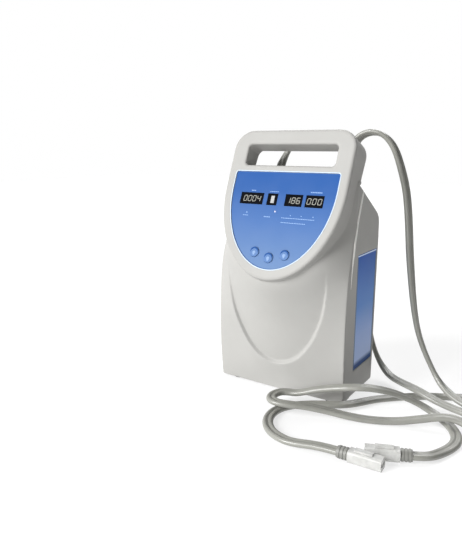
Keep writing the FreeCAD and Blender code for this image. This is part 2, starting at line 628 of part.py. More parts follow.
KEY_SEAT = "(panel_sink + panel_sheet + shell_wall + key_play)"
for side, (x, y) in KEYS.items():
    key = new_body("button_" + side)
    flange = new_sketch(key, "flange_" + side, offset="-" + KEY_SEAT)
    circle(flange, x, y, "key_flange_r")
    pad(key, flange, "key_flange", reverse=True)
    cap = new_sketch(key, "cap_" + side, offset="-" + KEY_SEAT)
    circle(cap, x, y, "key_r")
    pad(key, cap, KEY_SEAT + " - panel_sink + key_proud")
    stem = new_sketch(key, "stem_" + side, offset="-(%s + key_flange)" % KEY_SEAT)
    circle(stem, x, y, "key_stem_r")
    pad(key, stem, "0.45", reverse=True)
    fillet(key, "1.1", lambda p: near(p.z, size("key_proud - panel_sink")), "dome")
    head_placement(key)
    keep("button_" + side, key)

board = new_body("display_board")
outline = new_sketch(board, "board_outline", offset="-" + BOARD_FACE)
polygon(outline, [("-board_foot_half_width", "board_low"), ("board_foot_half_width", "board_low"),
                  ("board_half_width", "board_low + 45"), ("board_half_width", "board_high"),
                  ("-board_half_width", "board_high"), ("-board_half_width", "board_low + 45")])
pad(board, outline, "board_sheet", reverse=True)
drilled = new_sketch(board, "board_holes", offset="-" + BOARD_FACE)
for x, y in BOARD_SCREWS:
    circle(drilled, x, y, "1.3")
pocket(board, drilled, "board_sheet + 1", "board_drilling")
head_placement(board)
keep("display_board", board)

fixings = new_body("board_screws")
heads = new_sketch(fixings, "screw_heads", offset="-(%s + board_sheet)" % BOARD_FACE)
shanks = new_sketch(fixings, "screw_shanks", offset="-(%s + board_sheet + 0.5)" % BOARD_FACE)
for x, y in BOARD_SCREWS:
    circle(heads, x, y, "2.6")
    circle(shanks, x, y, "1.1")
fixings.AllowCompound = True
pad(fixings, heads, "1.6", reverse=True)
pad(fixings, shanks, "board_sheet + 0.5 + 4.5")
head_placement(fixings)
keep("board_screws", fixings)

switches = new_body("key_switches")
switches.AllowCompound = True
bases = new_sketch(switches, "switch_bases", offset="-" + BOARD_FACE)
plungers = new_sketch(switches, "switch_plungers", offset="-" + BOARD_FACE)
for x, y in KEYS.values():
    rectangle(bases, x + " - switch_side/2", y + " - switch_side/2", x + " + switch_side/2", y + " + switch_side/2")
    circle(plungers, x, y, "1.7")
pad(switches, bases, "%s - %s - key_flange - 2.2" % (BOARD_FACE, KEY_SEAT))
pad(switches, plungers, "%s - %s - key_flange - 1.4" % (BOARD_FACE, KEY_SEAT))
head_placement(switches)
keep("key_switches", switches)


# ---------------------------------------------------------------- side panels, feet, screws
for side, sign, flip in (("right", "", False), ("left", "-", True)):
    sheet_body = new_body("side_panel_" + side)
    outline = new_sketch(sheet_body, "side_sheet_" + side, "YZ_Plane", offset=sign + "(half_width - side_recess)")
    rectangle(outline, "side_front_y + side_gap", "side_low_z + side_gap", "side_rear_y - side_gap",
              "side_high_z - side_gap")
    pad(sheet_body, outline, "side_sheet", reverse=flip)
    fillet(sheet_body, "side_corner - side_gap",
           lambda p: (near(p.y, size("side_front_y + side_gap")) or near(p.y, size("side_rear_y - side_gap")))
           and (near(p.z, size("side_low_z + side_gap")) or near(p.z, size("side_high_z - side_gap"))))
    keep("side_panel_" + side, sheet_body)

for label, x, y in (("front_right", FOOT_X, "foot_front_y"), ("front_left", "-" + FOOT_X, "foot_front_y"),
                    ("rear_right", FOOT_X, "foot_rear_y"), ("rear_left", "-" + FOOT_X, "foot_rear_y")):
    foot = pins("foot_" + label, [(x, y)], "foot_r", "0", "foot_height")
    chamfer(foot, "0.5", lambda p: near(p.z, 0))
    keep("foot_" + label, foot)

screws = new_body("casing_screws")
screws.AllowCompound = True
shanks = new_sketch(screws, "casing_screw_shanks", "XZ_Plane", offset="-(seam_y + 12)")
heads = new_sketch(screws, "casing_screw_heads", "XZ_Plane", offset="-(seam_y + 12)")
for x in (SCREW_X, "-" + SCREW_X):
    for z in ("screw_low_z", "screw_high_z"):
        circle(shanks, x, z, "screw_r")
        circle(heads, x, z, "screw_head_r")
pad(screws, heads, "2.4", reverse=True)
pad(screws, shanks, "20")
keep("casing_screws", screws)


# ---------------------------------------------------------------- hose ports, plugs
for side, x in (("right", "port_x"), ("left", "-port_x")):
    port = new_body("hose_port_" + side)
    flange = new_sketch(port, "port_flange_" + side)
    rectangle(flange, "-port_half_width", "-port_half_depth", "port_half_width", "port_half_depth")
    pad(port, flange, "port_flange")
    fillet(port, "4", lambda p: near(abs(p.x), size("port_half_width")) and near(abs(p.y), size("port_half_depth")))
    neck = new_sketch(port, "port_neck_" + side)
    rectangle(neck, "-port_neck_half_width", "-port_neck_half_depth", "port_neck_half_width", "port_neck_half_depth")
    pad(port, neck, "port_neck", reverse=True)
    spigots = new_sketch(port, "spigots_" + side, offset="port_flange")
    bores = new_sketch(port, "spigot_bores_" + side, offset="port_flange + spigot_length")
    for spot in ("-tube_pitch/2", "tube_pitch/2"):
        circle(spigots, spot, "0", "spigot_r")
        circle(bores, spot, "0", "spigot_bore_r")
    pad(port, spigots, "spigot_length")
    pocket(port, bores, "port_flange + spigot_length + port_neck - 4", "spigot_bores")
    inlet = new_sketch(port, "port_inlet_" + side, offset="-port_neck")
    circle(inlet, "0", "0", "air_tube_r + 0.05")
    pocket(port, inlet, "5", "port_inlet", reverse=True)
    roof_placement(port, x)
    keep("hose_port_" + side, port)

    base_wire = Part.makePolygon([V(size("plug_half_width") * a, size("plug_half_depth") * b, 0)
                                  for a, b in ((-1, -0.55), (-0.72, -1), (0.72, -1), (1, -0.55), (1, 0.55), (0.72, 1),
                                               (-0.72, 1), (-1, 0.55), (-1, -0.55))])
    tip_wire = Part.makePolygon([V(size("plug_tip_r") * math.cos(math.radians(a)), size("plug_tip_r")
                                   * math.sin(math.radians(a)), size("plug_length"))
                                 for a in (202.5, 247.5, 292.5, 337.5, 22.5, 67.5, 112.5, 157.5, 202.5)])
    grip = plain("plug_grip_" + side, Part.makeLoft([base_wire, tip_wire], True, True))
    sockets = new_body("plug_sockets_" + side)
    ring = new_sketch(sockets, "plug_socket_" + side, offset="-1")
    for spot in ("-tube_pitch/2", "tube_pitch/2"):
        circle(ring, spot, "0", "spigot_r + 0.1")
    sockets.AllowCompound = True
    pad(sockets, ring, "spigot_length + 1.5")
    plug = less("plug_" + side, grip, sockets)
    lift = V(0, size("sin(roof_pitch)"), size("cos(roof_pitch)")) * size("port_flange + plug_gap")
    plug.Placement = FreeCAD.Placement(V(size(x), size("port_y"), size(roof_z("port_y"))) + lift,
                                       FreeCAD.Rotation(V(1, 0, 0), -size("roof_pitch")))
    bind(plug, Placement__Base__x=x, Placement__Base__y="port_y + (port_flange + plug_gap)*sin(roof_pitch)",
         Placement__Base__z=roof_z("port_y") + " + (port_flange + plug_gap)*cos(roof_pitch)",
         Placement__Rotation__Angle="-roof_pitch")
    keep("hose_plug_" + side, plug)


# ---------------------------------------------------------------- swept tubes
def route_wire(points):
    """Straight runs joined by tangent arcs, the arc's radius 0.45 of the shorter run over tan(half the turn)."""
    points = [V(*p) for p in points]
    edges, radii, here = [], [], points[0]
    for before, corner, after in zip(points[:-2], points[1:-1], points[2:]):
        a, b = corner - before, after - corner
        reach = 0.45 * min(a.Length, b.Length)
        turn = a.getAngle(b)
        if turn < 1e-3:
            continue
        a.normalize()
        b.normalize()
        radius = reach / math.tan(turn / 2)
        radii.append(radius)
        start, end = corner - a * reach, corner + b * reach
        bisector = (b - a).normalize()
        middle = corner + bisector * (radius / math.cos(turn / 2) - radius)
        edges.append(Part.LineSegment(here, start).toShape())
        edges.append(Part.Arc(start, middle, end).toShape())
        here = end
    edges.append(Part.LineSegment(here, points[-1]).toShape())
    return Part.Wire(edges), radii


def swept(name, points, radius):
    wire, radii = route_wire(points)
    start = V(*points[0])
    section = Part.Wire([Part.Circle(start, V(*points[1]) - start, radius).toShape()])
    solid = wire.makePipeShell([section], True, False)
    print("%s: length %.1f, section %.1f, least bend radius %.1f" % (name, wire.Length, 2 * radius, min(radii)))
    if abs(solid.Volume / (math.pi * radius ** 2 * wire.Length) - 1) > 0.02:
        raise RuntimeError("%s is not a tube of one section" % name)
    return plain(name, solid)


# centre lines of the two hoses, from the plug's tip over the top and round the table to the connector
HOSE_RIGHT = [
    (49, 48.55, 272.42), (49, 55.24, 283.56), (48.4, 60.7, 302.6), (52.6, 62, 311.6), (60.1, 62.6, 318.2),
    (70, 63, 321.2), (81.2, 63.3, 320), (91.8, 63.9, 313.6), (101.4, 64.8, 300.4), (109.4, 65.8, 278.8),
    (116.9, 66, 254.2), (121, 66, 228.7), (123.8, 66, 203), (126.3, 66, 177.3), (129.5, 66, 151.7),
    (133.1, 66, 126.2), (137.4, 66.2, 100.7), (143.2, 67.2, 75.6), (152.6, 68.4, 52), (162.1, 67.9, 34.7),
    (170.2, 64.8, 24), (180.6, 58, 16.4), (197.6, 47.9, 9.8), (221.8, 41.1, 5.7), (247.4, 39.6, 5),
    (273.2, 41.6, 5), (298.4, 46.4, 5), (317.8, 52.5, 5), (330.5, 61.2, 5), (337.3, 71.5, 5), (339.7, 83.6, 5),
    (336.9, 96.2, 5), (329.5, 106.7, 5), (318.5, 113.9, 5), (303.6, 117.2, 5), (285.1, 114.9, 5),
    (261.6, 106.6, 5), (238.9, 94.3, 5), (217.3, 80.2, 5), (196.1, 65.6, 5), (173.1, 53.9, 5), (151.8, 39.4, 5),
    (132.2, 22.6, 5), (116.1, 6.2, 5), (106.8, -9.9, 5.8), (98.8, -28.7, 7.7), (89.5, -40.2, 8.6),
    (80.3, -46.1, 8.5), (67.1, -49.9, 7.3), (50.6, -56.5, 5.5), (37.8, -67.7, 5), (29.8, -82.6, 5),
    (28.3, -98.9, 5), (33.3, -116.4, 5), (44.6, -131.7, 5), (59, -140.6, 5), (77.7, -144.4, 5),
    (107.91, -139.2, 6.6), (127.85, -138.5, 6.6),
]
HOSE_LEFT = [
    (-49, 48.55, 272.42), (-49, 55.24, 283.56), (-39.8, 63.5, 305.5), (-30.8, 66.7, 314.6), (-19, 68.9, 319.4),
    (-1.1, 71.8, 321.1), (14.1, 75.4, 317.7), (23.5, 78.9, 310.8), (31.5, 83.1, 297.5), (37.5, 87.1, 275.8),
    (41.2, 88.8, 250), (45.1, 89.6, 224.2), (49, 90, 198.4), (53.2, 90, 172.6), (57.4, 89.9, 146.8),
    (61.7, 89.7, 121.1), (66.1, 89.3, 95.3), (71.2, 88.3, 69.7), (78.4, 85.6, 45.8), (87.7, 80.9, 28.9),
    (100.5, 73.3, 17.6), (114.2, 63.3, 12.8), (133.4, 49.6, 13.8), (155.5, 36.2, 15.1), (176.8, 28.5, 11.2),
    (202.2, 26.8, 6.2), (228.2, 24.4, 5), (253, 24.7, 5), (271.1, 24.3, 5), (283.4, 19.8, 5), (293.4, 11.1, 5),
    (298.5, 0.7, 5), (299.2, -8.6, 5), (295.6, -18.9, 5), (288, -27.2, 5), (277.8, -32.7, 5.1),
    (264.9, -34.1, 5.5), (251.8, -30.6, 6.6), (236.2, -23.2, 9.6), (224.4, -18.2, 13), (211.5, -18, 15.7),
    (197.9, -21.9, 15.7), (180.1, -28.9, 11.4), (156.9, -38.5, 6.1), (133.1, -49.1, 5), (108.7, -58.2, 6.2),
    (84, -65.8, 9.7), (60.3, -75.2, 13.6), (42, -82.4, 14.5), (24.9, -84.2, 14.5), (18.3, -79.4, 14.5),
    (15.8, -71.6, 14.5), (18.3, -63.8, 14.5), (24.9, -59.2, 14.4),
    (35.4, -58.1, 14.6), (47.9, -55.8, 18.4), (65.2, -52.1, 25.1), (89.3, -49.7, 32.3), (109.6, -46, 36.2),
    (125, -37.2, 35.8), (142.2, -21.2, 29.6), (158.5, -6.8, 20.5), (172, -0.1, 13.4), (183.8, 0.2, 8.5),
    (195.6, -4.6, 5.7), (209.2, -17.1, 5), (219.6, -36.9, 5), (221, -56.6, 5), (213.6, -78.1, 5),
    (205.29, -100.03, 6.6), (192.45, -105.48, 6.6),
]
for side, route in (("right", HOSE_RIGHT), ("left", HOSE_LEFT)):
    keep("hose_" + side, swept("hose_" + side, route, size("hose_r")))


# ---------------------------------------------------------------- collars and connectors at the hoses' far ends
for side in ("right", "left"):
    collar = new_body("connector_collar_" + side)
    sleeve = new_sketch(collar, "collar_sleeve_" + side, "YZ_Plane")
    circle(sleeve, "0", "0", "collar_r")
    pad(collar, sleeve, "collar_length")
    for k in range(3):
        rib = new_sketch(collar, "collar_rib_%d_%s" % (k + 1, side), "YZ_Plane", offset="collar_length*%g" % (0.12 + 0.3 * k))
        circle(rib, "0", "0", "collar_r + collar_rib")
        pad(collar, rib, "collar_length*0.16")
    plug = new_body("hose_connector_" + side)
    shell_outline = new_sketch(plug, "connector_outline_" + side, "YZ_Plane", offset="collar_length")
    rectangle(shell_outline, "-connector_width/2", "-connector_height/2", "connector_width/2", "connector_height/2")
    pad(plug, shell_outline, "connector_length")
    fillet(plug, "3.2", lambda p: near(abs(p.y), size("connector_width/2")) and near(abs(p.z), size("connector_height/2")))
    latch = new_sketch(plug, "latch_" + side, offset="connector_height/2 - 0.5")
    rectangle(latch, "collar_length + 6", "-3.2", "collar_length + 24", "3.2")
    pad(plug, latch, "2.2")
    mouths = new_sketch(plug, "connector_mouths_" + side, "YZ_Plane", offset="collar_length + connector_length")
    for y in ("-tube_pitch/2", "tube_pitch/2"):
        circle(mouths, y, "0", "socket_r")
    pocket(plug, mouths, "socket_depth", "mouths")
    for thing in (collar, plug):
        thing.Placement = FreeCAD.Placement(V(size(side + "_end_x"), size(side + "_end_y"), size("connector_z")),
                                            FreeCAD.Rotation(V(0, 0, 1), size(side + "_end_turn")))
        bind(thing, Placement__Base__x=side + "_end_x", Placement__Base__y=side + "_end_y",
             Placement__Base__z="connector_z", Placement__Rotation__Angle=side + "_end_turn")
    keep("connector_collar_" + side, collar)
    keep("hose_connector_" + side, plug)


# ---------------------------------------------------------------- mains inlet and power switch
REAR_FACE = "(rear_y - service_sink)"
socket = new_body("mains_inlet")
body_outline = new_sketch(socket, "inlet_body", "XZ_Plane", offset="-%s" % REAR_FACE)
rectangle(body_outline, "inlet_x - inlet_half_width", "inlet_z - inlet_half_height", "inlet_x + inlet_half_width",
          "inlet_z + inlet_half_height")
pad(socket, body_outline, "inlet_depth")
flange = new_sketch(socket, "inlet_flange_outline", "XZ_Plane", offset="-%s" % REAR_FACE)
rectangle(flange, "inlet_x - inlet_flange_half_width", "inlet_z - inlet_flange_half_height",
          "inlet_x + inlet_flange_half_width", "inlet_z + inlet_flange_half_height")
pad(socket, flange, "inlet_flange")
mouth = new_sketch(socket, "inlet_mouth", "XZ_Plane", offset="-%s" % REAR_FACE)
polygon(mouth, [("inlet_x - inlet_half_width + inlet_wall", "inlet_z - inlet_half_height + inlet_wall"),
                ("inlet_x + inlet_half_width - inlet_wall", "inlet_z - inlet_half_height + inlet_wall"),
                ("inlet_x + inlet_half_width - inlet_wall", "inlet_z + 3"),
                ("inlet_x + inlet_half_width - inlet_wall - 4", "inlet_z + inlet_half_height - inlet_wall"),
                ("inlet_x - inlet_half_width + inlet_wall + 4", "inlet_z + inlet_half_height - inlet_wall"),
                ("inlet_x - inlet_half_width + inlet_wall", "inlet_z + 3")])
pocket(socket, mouth, "inlet_depth - 2.5", "inlet_cavity", reverse=True)
keep("mains_inlet", socket)

blades = new_body("mains_pins")
blades.AllowCompound = True
ends = new_sketch(blades, "pin_ends", "XZ_Plane", offset="-(rear_y - service_sink - inlet_depth + 2.5)")
for shift, lift in (("-inlet_pin_pitch", "-1.5"), ("0", "2"), ("inlet_pin_pitch", "-1.5")):
    rectangle(ends, "inlet_x + %s - pin_sheet/2" % shift, "inlet_z + %s - pin_width/2" % lift,
              "inlet_x + %s + pin_sheet/2" % shift, "inlet_z + %s + pin_width/2" % lift)
pad(blades, ends, "pin_length", reverse=True)
keep("mains_pins", blades)

frame = new_body("switch_frame")
outline = new_sketch(frame, "switch_body", "XZ_Plane", offset="-%s" % REAR_FACE)
rectangle(outline, "switch_x - rocker_half_width - rocker_frame + 0.1", "inlet_z - rocker_half_height - rocker_frame + 0.1",
          "switch_x + rocker_half_width + rocker_frame - 0.1", "inlet_z + rocker_half_height + rocker_frame - 0.1")
pad(frame, outline, "14")
flange = new_sketch(frame, "switch_flange", "XZ_Plane", offset="-%s" % REAR_FACE)
rectangle(flange, "switch_x - rocker_half_width - rocker_frame - 1.8", "inlet_z - inlet_flange_half_height",
          "switch_x + rocker_half_width + rocker_frame + 1.8", "inlet_z + inlet_flange_half_height")
pad(frame, flange, "inlet_flange")
well = new_sketch(frame, "switch_well", "XZ_Plane", offset="-%s" % REAR_FACE)
rectangle(well, "switch_x - rocker_half_width - rocker_gap", "inlet_z - rocker_half_height - rocker_gap",
          "switch_x + rocker_half_width + rocker_gap", "inlet_z + rocker_half_height + rocker_gap")
pocket(frame, well, "rocker_pivot + 6.4", "switch_well_cut", reverse=True)
bearing = new_sketch(frame, "switch_bearing", "YZ_Plane", offset="switch_x")
circle(bearing, "rear_y - service_sink - rocker_pivot", "inlet_z", "rocker_pin_r + 0.12")
pocket(frame, bearing, "2*(rocker_half_width + 1.6)", "switch_bearing_cut", midplane=True)
keep("switch_frame", frame)

rocker = new_body("power_rocker")
outline = new_sketch(rocker, "rocker_profile", "YZ_Plane")
polygon(outline, [("1.6", "0"), ("3.9", "rocker_half_height - 1.1"), ("3.2", "rocker_half_height - 0.65"),
                                   ("-4.5", "rocker_half_height - 1.8"), ("-4.5", "-(rocker_half_height - 1.8)"),
                                   ("3.2", "-(rocker_half_height - 0.65)"), ("3.9", "-(rocker_half_height - 1.1)")])
pad(rocker, outline, "2*rocker_half_width", midplane=True)
pivot = new_sketch(rocker, "rocker_pivot_pin", "YZ_Plane")
circle(pivot, "0", "0", "rocker_pin_r")
pad(rocker, pivot, "2*(rocker_half_width + 1.3)", midplane=True)
rocker.Placement = FreeCAD.Placement(V(size("switch_x"), size("rear_y - service_sink - rocker_pivot"), size("inlet_z")),
                                     FreeCAD.Rotation(V(1, 0, 0), size("rocker_tilt")))
bind(rocker, Placement__Base__x="switch_x", Placement__Base__y="rear_y - service_sink - rocker_pivot",
     Placement__Base__z="inlet_z", Placement__Rotation__Angle="rocker_tilt")
keep("power_rocker", rocker)


# ---------------------------------------------------------------- the works
keep("compressor", block("compressor", ("-pump_half_width", "pump_half_width"),
                         ("pump_y - pump_half_depth", "pump_y + pump_half_depth"),
                         ("pump_floor", "pump_floor + pump_height"), "6"))
keep("compressor_head", block("compressor_head", ("-pump_head_half_width", "pump_head_half_width"),
                              ("pump_y - 19", "pump_y + 19"),
                              ("pump_floor + pump_height", "pump_floor + pump_height + pump_head_height"), "4"))
mounts = new_body("compressor_mounts")
mounts.AllowCompound = True
rings = new_sketch(mounts, "mount_rings", offset="foot_height + shell_wall")
for x in ("-(pump_half_width - 10)", "pump_half_width - 10"):
    for y in ("pump_y - 14", "pump_y + 14"):
        circle(rings, x, y, "mount_r")
pad(mounts, rings, "pump_floor - foot_height - shell_wall")
keep("compressor_mounts", mounts)

keep("manifold", block("manifold", ("-manifold_half_width", "manifold_half_width"),
                       ("rear_y - shell_wall - 2*manifold_half_depth", "rear_y - shell_wall"),
                       ("manifold_z - manifold_height/2", "manifold_z + manifold_height/2")))
for side, x in (("right", "manifold_half_width - 15"), ("left", "-(manifold_half_width - 15)")):
    keep("solenoid_valve_" + side, pins("solenoid_valve_" + side, [(x, "manifold_z")], "valve_r",
                                        "-(rear_y - shell_wall - 2*manifold_half_depth)", "valve_length", "XZ_Plane"))

for label, sign, flip in (("control_board", "", True), ("power_supply", "-", False)):
    card = new_body(label)
    legs = new_sketch(card, label + "_legs", "YZ_Plane", offset=sign + "(half_width - side_wall)")
    for y in ("card_y - card_half_depth + 5", "card_y + card_half_depth - 5"):
        for z in ("card_low_z + 5", "card_high_z - 5"):
            circle(legs, y, z, "2.5")
    card.AllowCompound = True
    pad(card, legs, "card_standoff", reverse=flip)
    sheet_outline = new_sketch(card, label + "_card", "YZ_Plane", offset=sign + "(half_width - side_wall - card_standoff)")
    rectangle(sheet_outline, "card_y - card_half_depth", "card_low_z", "card_y + card_half_depth", "card_high_z")
    pad(card, sheet_outline, "board_sheet", reverse=flip)
    parts = new_sketch(card, label + "_parts", "YZ_Plane",
                       offset=sign + "(half_width - side_wall - card_standoff - board_sheet)")
    if label == "power_supply":
        rectangle(parts, "card_y - transformer/2", "card_low_z + 26", "card_y + transformer/2", "card_low_z + 60")
        pad(card, parts, "20", reverse=flip)
    else:
        rectangle(parts, "card_y - 14", "card_low_z + 12", "card_y - 2", "card_low_z + 24")
        rectangle(parts, "card_y + 4", "card_low_z + 36", "card_y + 18", "card_low_z + 50")
        pad(card, parts, "5", reverse=flip)
    keep(label, card)

TUBE_IN = [(0, 22, 87), (0, 22, 102), (0, 34, 118), (0, 52, 124), (0, 60, 131), (0, 60, 139)]
keep("air_tube_supply", swept("air_tube_supply", TUBE_IN, size("air_tube_r")))
for side, sign in (("right", 1), ("left", -1)):
    route = [(sign * x, y, z) for x, y, z in [(30, 60, 161), (30, 60, 177), (35, 48, 190), (42, 33, 198),
                                              (47.5, 20.5, 206), (49, 17.06, 220.02), (49, 29.167, 240.161)]]
    keep("air_tube_" + side, swept("air_tube_" + side, route, size("air_tube_r")))


# ---------------------------------------------------------------- check and export
doc.recompute()
for thing in doc.Objects:
    if "Invalid" in thing.State or "Error" in thing.State:
        raise RuntimeError("%s did not compute" % thing.Name)
for name, thing in SUBPARTS.items():
    if thing.Shape.isNull() or not thing.Shape.isValid() or not thing.Shape.Solids:
        raise RuntimeError("%s is not a valid solid" % name)

os.makedirs("parts", exist_ok=True)
for name, thing in SUBPARTS.items():
    thing.Shape.exportStep(os.path.join("parts", name + ".step"))
print("sub-parts: %d" % len(SUBPARTS))
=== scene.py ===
"""Looks of the compression therapy pump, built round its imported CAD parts.

Metres, in the part's own frame: origin under the middle of the pump, +Z up, front towards -Y.
The control head leans back, so what lies on it is placed with on_head(x, up, out).
"""
import json
import math

import bpy
import bmesh
from mathutils import Matrix, Vector
from mathutils.bvhtree import BVHTree


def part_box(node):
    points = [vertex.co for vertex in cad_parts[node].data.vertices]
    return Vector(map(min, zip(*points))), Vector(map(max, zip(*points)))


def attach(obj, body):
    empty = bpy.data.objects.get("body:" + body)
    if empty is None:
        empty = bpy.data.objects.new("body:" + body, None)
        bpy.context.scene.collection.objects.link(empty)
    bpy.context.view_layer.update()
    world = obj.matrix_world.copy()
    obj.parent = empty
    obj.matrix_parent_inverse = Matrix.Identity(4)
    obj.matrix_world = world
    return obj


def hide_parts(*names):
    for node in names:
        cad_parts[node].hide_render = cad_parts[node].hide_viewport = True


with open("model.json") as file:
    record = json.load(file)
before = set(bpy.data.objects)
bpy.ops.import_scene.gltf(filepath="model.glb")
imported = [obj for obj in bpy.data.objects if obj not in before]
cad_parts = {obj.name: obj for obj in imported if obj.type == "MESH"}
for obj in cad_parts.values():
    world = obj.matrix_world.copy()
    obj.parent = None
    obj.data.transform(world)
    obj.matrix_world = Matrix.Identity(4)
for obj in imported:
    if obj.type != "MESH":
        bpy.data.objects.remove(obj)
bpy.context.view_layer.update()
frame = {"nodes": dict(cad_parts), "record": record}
MM = 0.001

# ------------------------------------------------------------------ the head's own plane
HEAD_LEAN = math.radians(22.6)
HEAD_MIDDLE = Vector((0, -30.1, 255.5)) * MM
HEAD_UP = Vector((0, math.sin(HEAD_LEAN), math.cos(HEAD_LEAN)))
HEAD_OUT = Vector((0, -math.cos(HEAD_LEAN), math.sin(HEAD_LEAN)))
PANEL_FACE = -1.0
DISPLAY_FACE = -1.3


def on_head(x, up, out=0.0):
    """A point given in millimetres across, up and out of the leaning head's front plane."""
    return HEAD_MIDDLE + Vector((x * MM, 0, 0)) + HEAD_UP * up * MM + HEAD_OUT * out * MM


# ------------------------------------------------------------------ materials
def shader_of(made):
    return made.node_tree.nodes["Principled BSDF"]


def material(name, colour, roughness, **sockets):
    """A principled material; sockets are the shader's other inputs, with spaces written as underscores."""
    made = bpy.data.materials.new(name)
    made.use_nodes = True
    inputs = shader_of(made).inputs
    inputs["Base Color"].default_value = (*colour, 1)
    inputs["Roughness"].default_value = roughness
    for socket, value in sockets.items():
        inputs[socket.replace("_", " ")].default_value = value
    made.diffuse_color = (*colour, 1)
    return made


def node(made, kind, **sockets):
    """A new node of a material, with its input values; spaces are written as underscores."""
    new = made.node_tree.nodes.new(kind)
    for socket, value in sockets.items():
        new.inputs[socket.replace("_", " ")].default_value = value
    return new


def link(made, start, end):
    made.node_tree.links.new(start, end)


def object_point(made):
    """The place on the piece in its own frame, so that a pattern stays put when the piece moves."""
    return node(made, "ShaderNodeTexCoord").outputs["Object"]


BUMP_STRENGTH = 0.35
GLOSS_SPREAD = 0.08
GLOSS_SCALE = 0.02   # of the bump's scale, since the gloss drifts more slowly


def grain(made, scale, depth):
    """Moulded grain: a fine bump and a little unevenness in the gloss."""
    noise = node(made, "ShaderNodeTexNoise", Scale=scale, Detail=4.0)
    link(made, object_point(made), noise.inputs["Vector"])
    bump = node(made, "ShaderNodeBump", Strength=BUMP_STRENGTH, Distance=depth)
    link(made, noise.outputs["Fac"], bump.inputs["Height"])
    link(made, bump.outputs["Normal"], shader_of(made).inputs["Normal"])
    rough = shader_of(made).inputs["Roughness"]
    cloud = node(made, "ShaderNodeTexNoise", Scale=scale * GLOSS_SCALE, Detail=2.0)
    link(made, object_point(made), cloud.inputs["Vector"])
    spreader = node(made, "ShaderNodeMapRange", To_Min=rough.default_value - GLOSS_SPREAD,
                    To_Max=rough.default_value + GLOSS_SPREAD)
    link(made, cloud.outputs["Fac"], spreader.inputs["Value"])
    link(made, spreader.outputs["Result"], rough)
    return made


def mottle(made, light, dark, scale):
    """Colour that drifts gently between two tones."""
    noise = node(made, "ShaderNodeTexNoise", Scale=scale, Detail=3.0)
    link(made, object_point(made), noise.inputs["Vector"])
    ramp = node(made, "ShaderNodeValToRGB")
    ramp.color_ramp.elements[0].position, ramp.color_ramp.elements[0].color = 0.35, (*dark, 1)
    ramp.color_ramp.elements[1].position, ramp.color_ramp.elements[1].color = 0.65, (*light, 1)
    link(made, noise.outputs["Fac"], ramp.inputs["Fac"])
    link(made, ramp.outputs["Color"], shader_of(made).inputs["Base Color"])
    return made


def graded(made, low, high, stops):
    """Colour that changes with height, from low to high metres; stops are (share, colour)."""
    apart = node(made, "ShaderNodeSeparateXYZ")
    link(made, object_point(made), apart.inputs["Vector"])
    span = node(made, "ShaderNodeMapRange", From_Min=low, From_Max=high)
    link(made, apart.outputs["Z"], span.inputs["Value"])
    ramp = node(made, "ShaderNodeValToRGB")
    for share, _ in stops[1:-1]:
        ramp.color_ramp.elements.new(share)
    for element, (share, colour) in zip(ramp.color_ramp.elements, stops):
        element.position, element.color = share, (*colour, 1)
    link(made, span.outputs["Result"], ramp.inputs["Fac"])
    link(made, ramp.outputs["Color"], shader_of(made).inputs["Base Color"])
    return made


SHELL = grain(mottle(material("shell_plastic", (0.352, 0.348, 0.334), 0.45, Specular_IOR_Level=0.12),
                     (0.36, 0.356, 0.342), (0.344, 0.34, 0.326), 18), 1600, 0.00012)
PANEL = grain(graded(material("panel_film", (0.05, 0.15, 0.42), 0.5, Specular_IOR_Level=0.08), 0.163, 0.272,
                     [(0.0, (0.115, 0.195, 0.355)), (0.5, (0.053, 0.126, 0.32)),
                      (0.8, (0.021, 0.084, 0.275)), (1.0, (0.013, 0.074, 0.268))]), 2500, 0.00004)
KEY = grain(material("key_film", (0.095, 0.175, 0.36), 0.5, Specular_IOR_Level=0.05), 2500, 0.00003)
# dark arc over each key: painted shade of the upper slope of a dimpled key
KEY_ARC_SHADE = grain(material("key_arc_painted_shade", (0.02, 0.074, 0.24), 0.5, Specular_IOR_Level=0.05), 2500, 0.00003)
# pale drop on each key: painted light on the lower slope of a dimpled key
KEY_DROP_LIGHT = grain(material("key_drop_painted_light", (0.21, 0.31, 0.5), 0.5, Specular_IOR_Level=0.05), 2500, 0.00003)
# the side inlay is darker towards the top, and its lowest stops are painted shade along the bottom of its
# recess
INLAY = grain(graded(material("side_film_and_painted_shade", (0.04, 0.10, 0.25), 0.35, Specular_IOR_Level=0.03), 0.034, 0.178,
                     [(0.0, (0.03, 0.07, 0.2)), (0.035, (0.04, 0.09, 0.25)), (0.075, (0.42, 0.53, 0.80)),
                      (0.3, (0.33, 0.45, 0.76)), (0.55, (0.13, 0.28, 0.64)), (1.0, (0.022, 0.10, 0.42))]),
              2500, 0.00003)
# the seam bead's pale colour is a painted highlight
SEAM_HIGHLIGHT = grain(material("seam_painted_highlight", (0.86, 0.855, 0.82), 0.4, Specular_IOR_Level=0.4), 1600, 0.00006)
# painted highlight along the top edge of the side inlay's recess
INLAY_EDGE_HIGHLIGHT = grain(material("side_edge_painted_highlight", (0.6, 0.75, 0.95), 0.35), 2000, 0.00002)
# painted shade in the grooves at the side inlay's two ends
INLAY_GROOVE_SHADE = grain(material("side_groove_painted_shade", (0.05, 0.10, 0.17), 0.35, Specular_IOR_Level=0.2), 2000, 0.00002)
# painted highlight of the bevel just outside the panel's edge
PANEL_EDGE_HIGHLIGHT = grain(material("panel_edge_painted_highlight", (0.44, 0.53, 0.62), 0.4, Specular_IOR_Level=0.2), 2000, 0.00002)
